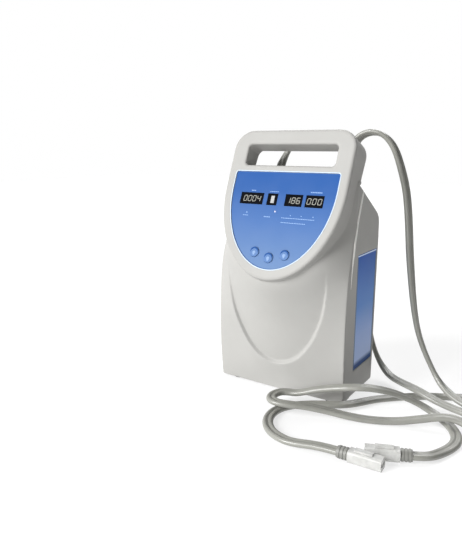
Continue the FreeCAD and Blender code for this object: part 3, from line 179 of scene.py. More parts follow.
# painted shade just inside the panel's edge
PANEL_EDGE_SHADE = grain(material("edge_shade", (0.045, 0.115, 0.30), 0.45, Specular_IOR_Level=0.1), 2000, 0.00002)
PRINT = grain(material("small_print", (0.2, 0.33, 0.57), 0.45, Specular_IOR_Level=0.2), 2000, 0.00002)
GLASS = grain(material("display_black", (0.0015, 0.002, 0.0035), 0.6, Specular_IOR_Level=0.03), 900, 0.00002)
DIGIT = grain(material("lit_segment", (0.22, 0.22, 0.19), 0.4, Emission_Color=(0.9, 0.9, 0.8, 1),
                       Emission_Strength=0.06, Specular_IOR_Level=0.1), 900, 0.00001)
LEVEL = grain(material("lit_level", (0.36, 0.36, 0.355), 0.4, Emission_Color=(1, 1, 1, 1),
                       Emission_Strength=0.03, Specular_IOR_Level=0.1), 900, 0.00001)
LED = grain(material("led_dome", (0.3, 0.3, 0.45), 0.25, Transmission_Weight=0.2), 900, 0.00001)
HOSE = grain(mottle(material("soft_tube", (0.235, 0.235, 0.212), 0.4, Coat_Weight=0.35, Coat_Roughness=0.18),
                    (0.248, 0.248, 0.224), (0.222, 0.222, 0.2), 60), 700, 0.00006)
CLEAR = grain(mottle(material("clear_coupling", (0.66, 0.66, 0.64), 0.22, Transmission_Weight=0.35, IOR=1.45),
                     (0.70, 0.70, 0.68), (0.58, 0.58, 0.56), 120), 900, 0.00004)
COLLAR = grain(material("collar_rubber", (0.2, 0.2, 0.185), 0.45), 1200, 0.0001)
PLUG = grain(material("plug_rubber", (0.33, 0.325, 0.3), 0.42), 1200, 0.0001)
PORT = grain(material("port_plastic", (0.4, 0.4, 0.385), 0.4), 1500, 0.00008)
FOOT = grain(material("foot_rubber", (0.02, 0.02, 0.02), 0.75), 900, 0.0002)
BLACK = grain(material("black_plastic", (0.018, 0.018, 0.018), 0.45), 1500, 0.0001)
BRASS = grain(material("brass", (0.72, 0.55, 0.28), 0.28, Metallic=1.0), 1500, 0.00003)
STEEL = grain(material("zinc_steel", (0.55, 0.55, 0.55), 0.3, Metallic=1.0), 1500, 0.00003)
BOARD = grain(mottle(material("solder_mask", (0.02, 0.14, 0.06), 0.4),
                     (0.02, 0.15, 0.06), (0.015, 0.11, 0.045), 90), 1500, 0.00004)
CAST = grain(mottle(material("cast_metal", (0.5, 0.5, 0.5), 0.5, Metallic=1.0),
                    (0.52, 0.52, 0.52), (0.42, 0.42, 0.43), 200), 1200, 0.00015)
SILICONE = grain(material("silicone", (0.7, 0.7, 0.68), 0.35, Subsurface_Weight=0.3), 900, 0.00004)
FINISH = {"shell": SHELL, "panel_blue": PANEL, "key_blue": KEY, "inlay_blue": INLAY, "display_black": GLASS,
          "led_red": LED, "hose_grey": HOSE, "connector_clear": CLEAR, "collar_grey": COLLAR,
          "port_grey": PORT, "foot_rubber": FOOT, "black_plastic": BLACK, "brass": BRASS, "steel": STEEL,
          "board_green": BOARD, "cast_metal": CAST, "clear_tube": SILICONE}
SLOT_OF = {part["node"]: part["material_slot"] for part in frame["record"]["subparts"]}
BODY_OF = {name: body for body, names in frame["record"]["behaviour"]["bodies"].items() for name in names}


def paint(thing, made):
    """Make a material the piece's only one."""
    thing.data.materials.clear()
    thing.data.materials.append(made)


# ------------------------------------------------------------------ pieces made from CAD nodes
BEVEL_FACETS, BEVEL_ANGLE = 3, 35   # of a small rounded edge, and the angle in degrees from which one is made
BEVEL_CREASE, SOFT_CREASE, TUBE_CREASE = 40, 50, 60   # degrees from which the shading shows an edge
RELAX = 0.5                         # how far one round of smoothing moves a point


def add_piece(name, mesh, made, body="housing"):
    """A new piece in the scene that moves with a body."""
    thing = bpy.data.objects.new(name, mesh)
    bpy.context.scene.collection.objects.link(thing)
    paint(thing, made)
    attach(thing, body)
    return thing


def apply_all(thing):
    """Make the piece's modifiers part of its mesh."""
    graph = bpy.context.evaluated_depsgraph_get()
    mesh = bpy.data.meshes.new_from_object(thing.evaluated_get(graph))
    thing.modifiers.clear()
    thing.data = mesh


def smooth_below(mesh, degrees):
    """Round shading, apart from edges sharper than the angle."""
    for face in mesh.polygons:
        face.use_smooth = True
    mesh.set_sharp_from_angle(angle=math.radians(degrees))


def tube(work, rings):
    """Faces from ring to ring of points, and one over each end."""
    for low, high in zip(rings, rings[1:]):
        for k in range(len(low)):
            nxt = (k + 1) % len(low)
            work.faces.new((low[k], low[nxt], high[nxt], high[k]))
    work.faces.new(list(reversed(rings[0])))
    work.faces.new(rings[-1])


def built(name, work, made, body="housing", crease=None):
    """The piece that a bmesh makes, with round shading below the crease angle if one is given."""
    bmesh.ops.recalc_face_normals(work, faces=work.faces)
    mesh = bpy.data.meshes.new(name)
    work.to_mesh(mesh)
    work.free()
    if crease:
        smooth_below(mesh, crease)
    return add_piece(name, mesh, made, body)


def copied(name, node_name):
    """A welded copy of a CAD node's mesh as a new piece that stands for the node."""
    mesh = frame["nodes"][node_name].data.copy()
    work = bmesh.new()
    work.from_mesh(mesh)
    bmesh.ops.remove_doubles(work, verts=work.verts, dist=1e-6)
    work.to_mesh(mesh)
    work.free()
    thing = add_piece(name, mesh, FINISH[SLOT_OF[node_name]], BODY_OF[node_name])
    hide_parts(node_name)
    return thing


def bevelled(name, node_name, width, made=None):
    """A CAD node with small rounded edges, as its moulded or turned part has."""
    thing = copied(name, node_name)
    bevel = thing.modifiers.new("edges", "BEVEL")
    bevel.width, bevel.segments, bevel.limit_method = width * MM, BEVEL_FACETS, "ANGLE"
    bevel.angle_limit, bevel.use_clamp_overlap = math.radians(BEVEL_ANGLE), True
    apply_all(thing)
    smooth_below(thing.data, BEVEL_CREASE)
    weight = thing.modifiers.new("even", "WEIGHTED_NORMAL")
    weight.keep_sharp, weight.weight = True, 100
    if made:
        paint(thing, made)


def moulded(name, node_name, voxel, rounds, keep):
    """A CAD shell with the soft edges of a moulding: remeshed, relaxed, then thinned out."""
    thing = copied(name, node_name)
    remesh = thing.modifiers.new("skin", "REMESH")
    remesh.mode, remesh.voxel_size, remesh.use_smooth_shade = "VOXEL", voxel * MM, True
    relax = thing.modifiers.new("soften", "SMOOTH")
    relax.factor, relax.iterations = RELAX, rounds
    thin = thing.modifiers.new("thin", "DECIMATE")
    thin.ratio = keep
    apply_all(thing)
    smooth_below(thing.data, SOFT_CREASE)


SKIN = 0.9   # the remesh's voxel in millimetres
moulded("front_skin", "front_shell", SKIN, rounds=6, keep=0.35)
moulded("rear_skin", "rear_casing", SKIN, rounds=4, keep=0.3)

bevelled("panel_sheet", "control_panel", 0.25)
for key in ("left", "middle", "right"):
    bevelled("key_cap_" + key, "button_" + key, 0.2)
for label in ("time", "bar", "mode", "pressure"):
    bevelled("window_" + label, "display_" + label, 0.25)
bevelled("led_dome", "indicator_led", 0.3)
for side in ("right", "left"):
    bevelled("side_sheet_" + side, "side_panel_" + side, 0.4)
    bevelled("port_" + side, "hose_port_" + side, 0.4)
    bevelled("coupling_" + side, "hose_connector_" + side, 0.6)
    bevelled("collar_" + side, "connector_collar_" + side, 0.25)
    bevelled("grip_" + side, "hose_plug_" + side, 0.8, PLUG)
for place in ("front_right", "front_left", "rear_right", "rear_left"):
    bevelled("rubber_" + place, "foot_" + place, 0.3)
bevelled("inlet", "mains_inlet", 0.35)
bevelled("switch_bezel", "switch_frame", 0.35)
bevelled("rocker", "power_rocker", 0.35)
bevelled("inlet_blades", "mains_pins", 0.3)
bevelled("screws", "casing_screws", 0.3)
# inside the housing, so these keep their CAD shapes
INSIDE = ["display_board", "board_screws", "key_switches", "control_board", "power_supply", "compressor",
          "compressor_head", "compressor_mounts", "manifold", "solenoid_valve_right", "solenoid_valve_left",
          "air_tube_supply", "air_tube_right", "air_tube_left"]
for node_name in INSIDE:
    paint(frame["nodes"][node_name], FINISH[SLOT_OF[node_name]])


# ------------------------------------------------------------------ print and digits on the head
def plates(name, outlines, made, out, thick=0.06):
    """Thin closed plates on the head, one for each outline of (x, up) points in millimetres."""
    work = bmesh.new()
    for outline in outlines:
        tube(work, [[work.verts.new(on_head(x, up, level)) for x, up in outline]
                    for level in (out, out + thick)])
    built(name, work, made)


def bar(x, up, width, height):
    """A rectangle about (x, up)."""
    return [(x + dx * width / 2, up + dy * height / 2) for dx, dy in ((-1, -1), (1, -1), (1, 1), (-1, 1))]


# a digit's seven segments: middle of each as shares of half-width and half-height, and whether it is upright
SEGMENTS = {"a": (0, 1, False), "b": (1, 0.5, True), "c": (1, -0.5, True), "d": (0, -1, False),
            "e": (-1, -0.5, True), "f": (-1, 0.5, True), "g": (0, 0, False)}
LIT = {"0": "abcdef", "1": "bc", "2": "abged", "4": "fgbc", "6": "afgedc", "8": "abcdefg"}
DIGIT_HALF = (2.05, 3.4)
STROKE = 0.85
UPRIGHT_GAP, LEVEL_GAP = 0.5, 0.6   # how much shorter the segments are than their side of the digit
SLANT = 0.12


def digit(x, up, figure):
    """The outlines of a seven-segment digit's lit segments, slanted to the right."""
    outlines = []
    for segment in LIT[figure]:
        across, high, upright = SEGMENTS[segment]
        size = (STROKE, DIGIT_HALF[1] - UPRIGHT_GAP) if upright else (2 * DIGIT_HALF[0] - LEVEL_GAP, STROKE)
        flat = bar(across * DIGIT_HALF[0], high * DIGIT_HALF[1], *size)
        outlines.append([(x + px + SLANT * py, up + py) for px, py in flat])
    return outlines


WINDOW_UP = -13.8   # the middle of the display windows
for label, middle, pitch, figures in (("time", -39.8, 6.3, "0004"), ("mode", 16.6, 6.4, "186"),
                                      ("pressure", 43.6, 6.8, "000")):
    row = []
    for place, figure in enumerate(figures):
        row += digit(middle + (place - (len(figures) - 1) / 2) * pitch, WINDOW_UP, figure)
    plates("digits_" + label, row, DIGIT, DISPLAY_FACE)
LEVELS, LEVEL_PITCH, LEVEL_X, LEVEL_SIZE = 5, 1.8, -11.3, (4.6, 1.7)
plates("level_bar", [bar(LEVEL_X, WINDOW_UP + (k - (LEVELS - 1) / 2) * LEVEL_PITCH, *LEVEL_SIZE)
                     for k in range(LEVELS)], LEVEL, DISPLAY_FACE)

# the panel's outline in millimetres: half an ellipse below, and a rectangle with round corners above
HALF_WIDTH, DROP, RISE, CORNER = 69.6, 98.9, 20.4, 2.8
EDGE_STEPS, CORNER_STEPS = 72, 6


def shield_point(share, inset):
    """A point on the panel's lower edge, share 0 to 1 from its left end round to its right."""
    turn = math.pi * (1 + share)
    return (HALF_WIDTH - inset) * math.cos(turn), (DROP - inset) * math.sin(turn)


def shield_edge(inset):
    """The panel's whole outline, drawn in by inset."""
    lower = [shield_point(k / EDGE_STEPS, inset) for k in range(EDGE_STEPS + 1)]
    bend = max(CORNER - inset, 0.3)
    right = [(HALF_WIDTH - inset - bend + bend * math.cos(turn), RISE - inset - bend + bend * math.sin(turn))
             for turn in (math.radians(90 * k / CORNER_STEPS) for k in range(CORNER_STEPS + 1))]
    return lower + right + [(-x, up) for x, up in reversed(right)]


def ring(name, inset, width, made, out):
    """A closed line of one width along the panel's edge."""
    outer, inner = shield_edge(inset), shield_edge(inset + width)
    strips = [[outer[i - 1], outer[i], inner[i], inner[i - 1]] for i in range(len(outer))]
    plates(name, strips, made, out, 0.04)


# a painted highlight just outside the panel's edge
ring("panel_edge_highlight_ring", -1.1, 1.1, PANEL_EDGE_HIGHLIGHT, 0.05)
# painted shade just inside the panel's edge
ring("panel_edge_shade", 0.05, 0.9, PANEL_EDGE_SHADE, PANEL_FACE)

DASH_PITCH, DASH_GAP = 2.2, 0.5


def dashes(x, up, width, height):
    """A row of short bars, as wide in all as width: the place of a line of small print."""
    count = max(1, round(width / DASH_PITCH))
    step = width / count
    return [bar(x - width / 2 + (k + 0.5) * step, up, step - DASH_GAP, height) for k in range(count)]


# rows of dashes (x, up, width, height) and square dots (x, up, side) in millimetres
DASH_ROWS = [(-39.7, -3.9, 6.4, 1.1), (-10.7, -4.3, 12, 0.7), (44.2, -3.0, 15, 1.2), (-44.2, -35.4, 7.5, 0.8),
             (-14, -35.7, 9, 1.0), (27, -35.6, 43, 0.8), (22, -41.2, 32, 0.8)]
DOTS = [(-43, -31.8, 1.4), (17, -32.2, 1.1), (31, -32.2, 1.1), (46, -32.2, 1.1)]
plates("small_marks", [mark for row in DASH_ROWS for mark in dashes(*row)]
       + [bar(x, up, side, side) for x, up, side in DOTS], PRINT, PANEL_FACE, 0.03)

# the keys: a raised arc over the top of each, painted dark as shade, and a drop in its middle painted pale as
# light
KEY_PLACES = {"left": (-20.2, -79.6), "middle": (0.0, -84.8), "right": (20.2, -79.6)}
KEY_FACE = 0.3
SUNK = 0.05   # how far the trim reaches into the key
ARC_R, ARC_WIDTH, ARC_HEIGHT = 4.9, 1.9, 0.35
ARC_FIRST, ARC_LAST, ARC_STEPS, ARC_SIDES = -12, 192, 32, 8   # its ends in degrees, and its facets
DROP_SIDES, DROP_LOWER = 24, 0.6
# half the drop's width and height, and how far its point reaches past that
DROP_ACROSS, DROP_UP, DROP_TIP = 2.1, 2.0, 1.6
# the drop's rings: each one's share of the outline, and its height over the key
DROP_RINGS = ((1.0, -SUNK), (0.97, 0.08), (0.75, 0.18), (0.4, 0.22))


def raised_arc(name, x, up, made, body):
    """A half-round bead along part of a circle on the head, thinner towards its ends."""
    work = bmesh.new()
    rows = []
    for k in range(ARC_STEPS + 1):
        turn = math.radians(ARC_FIRST + (ARC_LAST - ARC_FIRST) * k / ARC_STEPS)
        swell = max(0.15, min(1.0, 4 * k / ARC_STEPS, 4 * (ARC_STEPS - k) / ARC_STEPS))
        row = []
        for side in (math.pi * j / ARC_SIDES for j in range(ARC_SIDES + 1)):
            reach = ARC_R + swell * ARC_WIDTH / 2 * math.cos(side)
            row.append(work.verts.new(on_head(x + reach * math.cos(turn), up + reach * math.sin(turn),
                                              KEY_FACE - SUNK + swell * ARC_HEIGHT * math.sin(side))))
        rows.append(row)
    tube(work, rows)
    built(name, work, made, body, SOFT_CREASE)


def drop(name, x, up, made, body):
    """A low lens, round above and pointed below; on the keys it is painted pale as light."""
    outline = []
    for k in range(DROP_SIDES):
        turn = math.tau * k / DROP_SIDES - math.pi / 2
        tip = max(0.0, -math.sin(turn)) ** 6
        outline.append((DROP_ACROSS * math.cos(turn), DROP_UP * math.sin(turn) - DROP_TIP * tip))
    work = bmesh.new()
    tube(work, [[work.verts.new(on_head(x + size * px, up + size * py, KEY_FACE + out)) for px, py in outline]
                for size, out in DROP_RINGS])
    built(name, work, made, body, SOFT_CREASE)


for label, (x, up) in KEY_PLACES.items():
    body = BODY_OF["button_" + label]
    raised_arc("key_arc_" + label, x, up, KEY_ARC_SHADE, body)
    drop("key_drop_" + label, x, up - DROP_LOWER, KEY_DROP_LIGHT, body)


# ------------------------------------------------------------------ painted highlights and shade on the housing's sides
# the bead's line down the side, as (z, y) in millimetres, and the part of it that the bead takes up
BEAD_LINE = [(140, -23.5), (160, -22.6), (175, -20), (198, -13.8), (210, -7.4), (222, -1.9), (240, 6.8),
             (256, 15)]
BEAD_LOW, BEAD_HIGH, BEAD_STEPS, BEAD_SIDES = 143, 254, 44, 12
BEAD_FADE, BEAD_END = 16, 2   # the steps over which it swells from its low end, and closes at its top
# its height and its half-width: where it is thinnest, and what swelling adds
BEAD_PROUD, BEAD_HALF = (0.2, 1.1), (0.3, 1.6)
BEAD_ROUNDS = 5   # how often its line is evened out
OUTSIDE = 200     # millimetres from the middle, where the rays start
NO_HIT = 0.08     # metres from the middle, used where a ray meets neither shell


def seam_lips():
    """A bead down both sides, painted pale as a highlight on the seam, leaning with the head near the top and
    dying away below it.
    """
    skins = []
    for name in ("rear_casing", "front_shell"):
        mesh = frame["nodes"][name].data
        skins.append(BVHTree.FromPolygons([v.co for v in mesh.vertices], [f.vertices for f in mesh.polygons]))
    work = bmesh.new()
    for side in (1, -1):
        spots = []
        for k in range(BEAD_STEPS + 1):
            z = BEAD_LOW + (BEAD_HIGH - BEAD_LOW) * k / BEAD_STEPS
            low, high = next(pair for pair in zip(BEAD_LINE, BEAD_LINE[1:]) if pair[1][0] >= z)
            y = low[1] + (high[1] - low[1]) * (z - low[0]) / (high[0] - low[0])
            start = Vector((side * OUTSIDE, y, z)) * MM
            hits = [skin.ray_cast(start, Vector((-side, 0, 0)))[0] for skin in skins]
            spots.append(Vector((max([hit.x * side for hit in hits if hit] or [NO_HIT]) / MM, y, z)))
        for _ in range(BEAD_ROUNDS):
            inner = [(a + b * 2 + c) / 4 for a, b, c in zip(spots, spots[1:], spots[2:])]
            spots = [spots[0]] + inner + [spots[-1]]
        rows = []
        for k, spot in enumerate(spots):
            swell = min(1.0, k / BEAD_FADE, (BEAD_STEPS + 0.4 - k) / BEAD_END)
            proud, half_width = (thin + more * swell for thin, more in (BEAD_PROUD, BEAD_HALF))
            rows.append([work.verts.new(Vector((side * (spot.x + proud * math.sin(turn)),
                                                spot.y - half_width * math.cos(turn), spot.z)) * MM)
                         for turn in (math.tau * j / BEAD_SIDES for j in range(BEAD_SIDES))])
        tube(work, rows)
    built("seam_lips", work, SEAM_HIGHLIGHT, crease=SOFT_CREASE)


seam_lips()

SIDE_LIFT = 0.05


def side_plates(name, outlines, made):
    """Thin closed plates on both side inlays, from outlines of (y, z) in millimetres."""
    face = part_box("side_panel_right")[1][0]
    work = bmesh.new()
    for side in (1, -1):
        for outline in outlines:
            tube(work, [[work.verts.new((side * (face + out * MM), y * MM, z * MM)) for y, z in outline]
                        for out in (0.0, SIDE_LIFT)])
    built(name, work, made)


INLAY_LOW, INLAY_HIGH = (Vector(corner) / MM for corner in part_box("side_panel_right"))


def upright_strip(y, z0, z1, width):
    """A rectangle on the side, from y over its width and from z0 up to z1."""
    return [(y, z0), (y + width, z0), (y + width, z1), (y, z1)]


# a painted highlight along the inlay's top edge
side_plates("inlay_top_highlight", [upright_strip(INLAY_LOW.y + 1.2, INLAY_HIGH.z - 2.0, INLAY_HIGH.z - 0.5,
                                             INLAY_HIGH.y - INLAY_LOW.y - 2.4)], INLAY_EDGE_HIGHLIGHT)
# painted shade in the grooves at the inlay's two ends
side_plates("inlay_groove_shades", [upright_strip(y, INLAY_LOW.z + 1.5, INLAY_HIGH.z - 2.4, 2.2)
                              for y in (INLAY_LOW.y + 0.5, INLAY_HIGH.y - 2.7)], INLAY_GROOVE_SHADE)


# ------------------------------------------------------------------ hoses
# The part's own routes in metres. At the left one's fold ten points lie up to 6 mm off the part's, so that
# the flat pair bends less sharply there.
HOSE_RIGHT = [
    (0.049, 0.04855, 0.27242), (0.049, 0.05524, 0.28356), (0.0484, 0.0607, 0.3026), (0.0526, 0.062, 0.3116),
    (0.0601, 0.0626, 0.3182), (0.07, 0.063, 0.3212), (0.0812, 0.0633, 0.32), (0.0918, 0.0639, 0.3136),
    (0.1014, 0.0648, 0.3004), (0.1094, 0.0658, 0.2788), (0.1169, 0.066, 0.2541), (0.121, 0.066, 0.2287),
    (0.1238, 0.066, 0.203), (0.1263, 0.066, 0.1774), (0.1295, 0.066, 0.1517), (0.1331, 0.066, 0.1262),
    (0.1374, 0.0662, 0.1007), (0.1432, 0.0672, 0.0756), (0.1526, 0.0684, 0.052), (0.1621, 0.0679, 0.0347),
    (0.1702, 0.0648, 0.024), (0.1806, 0.058, 0.0164), (0.1976, 0.0479, 0.0098), (0.2218, 0.0411, 0.0057),
    (0.2474, 0.0396, 0.005), (0.2732, 0.0416, 0.005), (0.2984, 0.0464, 0.005), (0.3178, 0.0525, 0.005),
    (0.3305, 0.0612, 0.005), (0.3373, 0.0715, 0.005), (0.3397, 0.0836, 0.005), (0.3369, 0.0962, 0.005),
    (0.3295, 0.1067, 0.005), (0.3185, 0.1139, 0.005), (0.3036, 0.1172, 0.005), (0.2851, 0.1149, 0.005),
    (0.2616, 0.1066, 0.005), (0.2389, 0.0943, 0.005), (0.2173, 0.0802, 0.005), (0.1961, 0.0656, 0.005),
    (0.1731, 0.0539, 0.005), (0.1518, 0.0394, 0.005), (0.1322, 0.0226, 0.005), (0.1161, 0.0062, 0.005),
    (0.1068, -0.0099, 0.0058), (0.0988, -0.0287, 0.0077), (0.0895, -0.0403, 0.0086),
    (0.0803, -0.0461, 0.0085), (0.0671, -0.0499, 0.0073), (0.0506, -0.0565, 0.0054),
    (0.0378, -0.0677, 0.005), (0.0298, -0.0826, 0.005), (0.0283, -0.0989, 0.005), (0.0333, -0.1164, 0.005),
    (0.0446, -0.1317, 0.005), (0.059, -0.1406, 0.005), (0.0777, -0.1444, 0.005), (0.10791, -0.1392, 0.0066),
    (0.12785, -0.1385, 0.0066),
]
HOSE_LEFT = [
    (-0.049, 0.04855, 0.27242), (-0.049, 0.05524, 0.28356), (-0.0398, 0.0635, 0.3055),
    (-0.0308, 0.0667, 0.3146), (-0.019, 0.0689, 0.3194), (-0.0011, 0.0718, 0.3211), (0.0141, 0.0754, 0.3177),
    (0.0235, 0.0789, 0.3108), (0.0315, 0.0831, 0.2975), (0.0375, 0.0871, 0.2758), (0.0412, 0.0888, 0.25),
    (0.0451, 0.0896, 0.2242), (0.049, 0.09, 0.1984), (0.0532, 0.09, 0.1726), (0.0574, 0.0899, 0.1468),
    (0.0617, 0.0897, 0.1211), (0.0661, 0.0893, 0.0953), (0.0712, 0.0883, 0.0697), (0.0784, 0.0856, 0.0458),
    (0.0877, 0.0809, 0.0289), (0.1005, 0.0733, 0.0176), (0.1142, 0.0633, 0.0128), (0.1334, 0.0496, 0.0138),
    (0.1555, 0.0362, 0.0151), (0.1768, 0.0285, 0.0112), (0.2022, 0.0268, 0.0062), (0.2282, 0.0244, 0.005),
    (0.253, 0.0247, 0.005), (0.2711, 0.0243, 0.005), (0.2834, 0.0198, 0.005), (0.2934, 0.0111, 0.005),
    (0.2985, 0.0007, 0.005), (0.2992, -0.0086, 0.005), (0.2956, -0.0189, 0.005), (0.288, -0.0272, 0.005),
    (0.2778, -0.0327, 0.0051), (0.2649, -0.0341, 0.0055), (0.2518, -0.0306, 0.0066),
    (0.2362, -0.0232, 0.0096), (0.2244, -0.0182, 0.013), (0.2115, -0.018, 0.0157), (0.1979, -0.0219, 0.0157),
    (0.1801, -0.029, 0.0114), (0.1569, -0.0385, 0.0061), (0.1331, -0.0491, 0.005), (0.1087, -0.0582, 0.0062),
    (0.0839, -0.0658, 0.0097), (0.0603, -0.0772, 0.0136), (0.0437, -0.0857, 0.0145),
    (0.0282, -0.089, 0.0145), (0.0188, -0.0842, 0.0145), (0.0154, -0.0726, 0.0145),
    (0.0184, -0.0612, 0.0145), (0.0268, -0.0554, 0.0144), (0.0366, -0.0537, 0.0146),
    (0.0479, -0.0523, 0.0184), (0.0652, -0.0502, 0.0251), (0.0893, -0.0497, 0.0323),
    (0.1096, -0.046, 0.0362), (0.125, -0.0372, 0.0358), (0.1422, -0.0212, 0.0296), (0.1585, -0.0068, 0.0205),
    (0.172, -0.0001, 0.0134), (0.1838, 0.0002, 0.0085), (0.1956, -0.0046, 0.0057), (0.2092, -0.0171, 0.005),
    (0.2196, -0.0369, 0.005), (0.221, -0.0566, 0.005), (0.2136, -0.0781, 0.005), (0.20529, -0.10003, 0.0066),
    (0.19245, -0.10548, 0.0066),
]
TUBE_R = 0.0031
TUBE_APART = 0.97    # of TUBE_R: how far each tube's middle is from the pair's
TUBE_STEPS = 12
# the flat pair is thinner than the part's round hose, so its middle lies this much lower on the floor
LOWER = 0.0018
LYING, LOW_REACH = 0.005, 0.03          # the height of a route that lies down, and LOWER's reach above it
LIFT_START, LIFT_REACH = 0.014, 0.02    # the heights over which the pair turns from lying flat
HIGH_START, HIGH_REACH = 0.05, 0.13     # the heights over which it goes from one direction to the other
TURN_START, TURN_REACH = 0.012, 0.018   # the length that stays level at the plug, and that of a turn
UPRIGHT_LIMIT = 0.05                    # a line with less of a sideways part than this counts as upright


def part_way(value, start, reach):
    """How far the value is past start, from 0 to 1 over the reach."""
    return min(max((value - start) / reach, 0.0), 1.0)


def settled(points):
    """The route let down onto the floor where it is low, apart from its two ends."""
    last = len(points) - 2
    return [(x, y, z - LOWER * min(max(1 - (z - LYING) / LOW_REACH, 0.0), 1.0) if 1 < i < last else z)
            for i, (x, y, z) in enumerate(points)]


def route_line(name, points):
    """The route as a smooth line, without thickness; its own points are read from it."""
    curve = bpy.data.curves.new(name, "CURVE")
    curve.dimensions = "3D"
    curve.resolution_u = 10
    spline = curve.splines.new("NURBS")
    spline.points.add(len(points) - 1)
    for spot, place in zip(spline.points, points):
        spot.co = (*place, 1)
    spline.order_u = 3
    spline.use_endpoint_u = True
    holder = bpy.data.objects.new(name, curve)
    bpy.context.scene.collection.objects.link(holder)
    bpy.context.view_layer.update()
    graph = bpy.context.evaluated_depsgraph_get()
    mesh = bpy.data.meshes.new_from_object(holder.evaluated_get(graph))
    line = [v.co.copy() for v in mesh.vertices]
    bpy.data.objects.remove(holder)
    bpy.data.meshes.remove(mesh)
    return line


def pair_outline():
    """The section of two tubes side by side: most of a circle about each middle."""
    outline = []
    for centre, first in ((1, -140), (-1, 40)):
        for k in range(TUBE_STEPS + 1):
            turn = math.radians(first + 280 * k / TUBE_STEPS)
            outline.append((centre * TUBE_R * TUBE_APART + TUBE_R * math.cos(turn), TUBE_R * math.sin(turn)))
    return outline


def twin_tube(name, line, upright, node_name):
    """Two tubes side by side, joined along their length. The pair leaves the plug level. Off the floor it
    lies across the first direction of upright when low and the second when high, and flat where it rests."""
    lengths = [0.0]
    for a, b in zip(line, line[1:]):
        lengths.append(lengths[-1] + (b - a).length)
    outline = pair_outline()
    work = bmesh.new()
    rings = []
    side = Vector((1, 0, 0))
    for i, spot in enumerate(line):
        ahead = (line[min(i + 1, len(line) - 1)] - line[max(i - 1, 0)]).normalized()
        flat = ahead.cross(Vector((0, 0, 1)))
        wish = Vector(upright[1]) if flat.length < UPRIGHT_LIMIT else flat.normalized()
        wish = wish if wish.dot(side) > 0 else -wish
        stand = Vector(upright[0]).lerp(Vector(upright[1]), part_way(spot.z, HIGH_START, HIGH_REACH))
        stand = stand if stand.dot(side) > 0 else -stand
        high = part_way(spot.z, LIFT_START, LIFT_REACH)
        wish = wish * (1 - high) + stand * high
        if lengths[i] > TURN_START:
            step = lengths[i] - lengths[i - 1]
            side = side + (wish - side) * min(1.0, step / TURN_REACH)
        side = (side - ahead * side.dot(ahead)).normalized()
        up = ahead.cross(side)
        rings.append([work.verts.new(spot + side * x + up * y) for x, y in outline])
    tube(work, rings)
    thing = built(name, work, HOSE, crease=TUBE_CREASE)
    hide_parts(node_name)


for side, route, upright in (("right", HOSE_RIGHT, ((-0.4, 0.92, 0), (0.3, 0.95, 0))),
                             ("left", HOSE_LEFT, ((-0.4, 0.92, 0), (-0.3, 0.95, 0)))):
    twin_tube("hose_run_" + side, route_line("route_" + side, settled(route)), upright, "hose_" + side)


# ------------------------------------------------------------------ floor, lights and camera
FLOOR_HALF = 4
floor_mesh = bpy.data.meshes.new("floor")
floor_mesh.from_pydata([(x * FLOOR_HALF, y * FLOOR_HALF, 0) for x, y in ((-1, -1), (1, -1), (1, 1), (-1, 1))],
                       [], [(0, 1, 2, 3)])
floor = bpy.data.objects.new("floor", floor_mesh)
bpy.context.scene.collection.objects.link(floor)
paint(floor, grain(material("white_table", (0.31, 0.31, 0.31), 0.9, Specular_IOR_Level=0.1,
                            Emission_Color=(1, 1, 1, 1), Emission_Strength=0.68), 200, 0.00002))

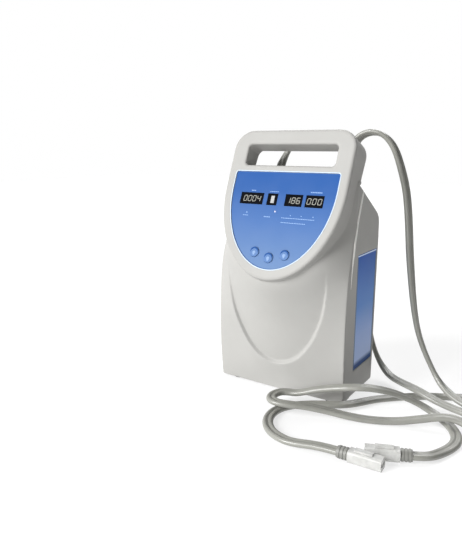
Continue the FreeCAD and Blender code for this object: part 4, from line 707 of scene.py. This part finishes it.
# a soft studio: bright from behind on the part's left and dim elsewhere; the key light does the front
world = bpy.data.worlds.new("studio")
world.use_nodes = True
tree = world.node_tree
tree.nodes["Background"].inputs["Color"].default_value = (1, 1, 1, 1)
toward = tree.nodes.new("ShaderNodeTexCoord")
facing = tree.nodes.new("ShaderNodeVectorMath")
facing.operation = "DOT_PRODUCT"
facing.inputs[1].default_value = (-0.8, 0.6, 0.0)
tree.links.new(toward.outputs["Generated"], facing.inputs[0])
fade = tree.nodes.new("ShaderNodeMapRange")
fade.interpolation_type = "SMOOTHSTEP"
for socket, value in (("From Min", 0.2), ("From Max", 0.7), ("To Min", 0.12), ("To Max", 1.0)):
    fade.inputs[socket].default_value = value
tree.links.new(facing.outputs["Value"], fade.inputs["Value"])
tree.links.new(fade.outputs["Result"], tree.nodes["Background"].inputs["Strength"])
bpy.context.scene.world = world


def sun(name, away, strength, spread):
    """A broad far lamp; away is the direction from the object to the lamp."""
    light = bpy.data.lights.new(name, "SUN")
    light.energy, light.angle = strength, math.radians(spread)
    holder = bpy.data.objects.new(name, light)
    holder.rotation_euler = (-Vector(away)).to_track_quat("-Z", "Y").to_euler()
    bpy.context.scene.collection.objects.link(holder)


sun("key", (-0.46, -0.75, 0.5), 4.35, 30)
sun("rim", (-0.05, 0.6, 0.8), 1.7, 35)

# a wide low lamp in front, for what faces down
panel_lamp = bpy.data.lights.new("low_fill", "AREA")
panel_lamp.shape, panel_lamp.size, panel_lamp.size_y, panel_lamp.energy = "RECTANGLE", 1.6, 0.24, 4.2
low_fill = bpy.data.objects.new("low_fill", panel_lamp)
low_fill.location = (-0.15, -1.15, 0.13)
low_fill.rotation_euler = (Vector((0, 0, 0.2)) - low_fill.location).to_track_quat("-Z", "Y").to_euler()
bpy.context.scene.collection.objects.link(low_fill)

# the camera, in front and to the right, looking a little down
EYE = Vector((0.32713, -0.62415, 0.30451))
AHEAD = Vector((-0.5466, 0.8095, -0.2140)).normalized()
lens = bpy.data.cameras.new("camera")
lens.sensor_fit, lens.sensor_width, lens.lens = "HORIZONTAL", 36, 44.108
lens.clip_start, lens.clip_end = 0.02, 50
viewer = bpy.data.objects.new("camera", lens)
bpy.context.scene.collection.objects.link(viewer)
RIGHT = AHEAD.cross(Vector((0, 0, 1))).normalized()
UP = RIGHT.cross(AHEAD)
viewer.matrix_world = Matrix((RIGHT, UP, -AHEAD)).transposed().to_4x4()
viewer.location = EYE
bpy.context.scene.camera = viewer
bpy.context.scene.view_settings.view_transform = "Standard"
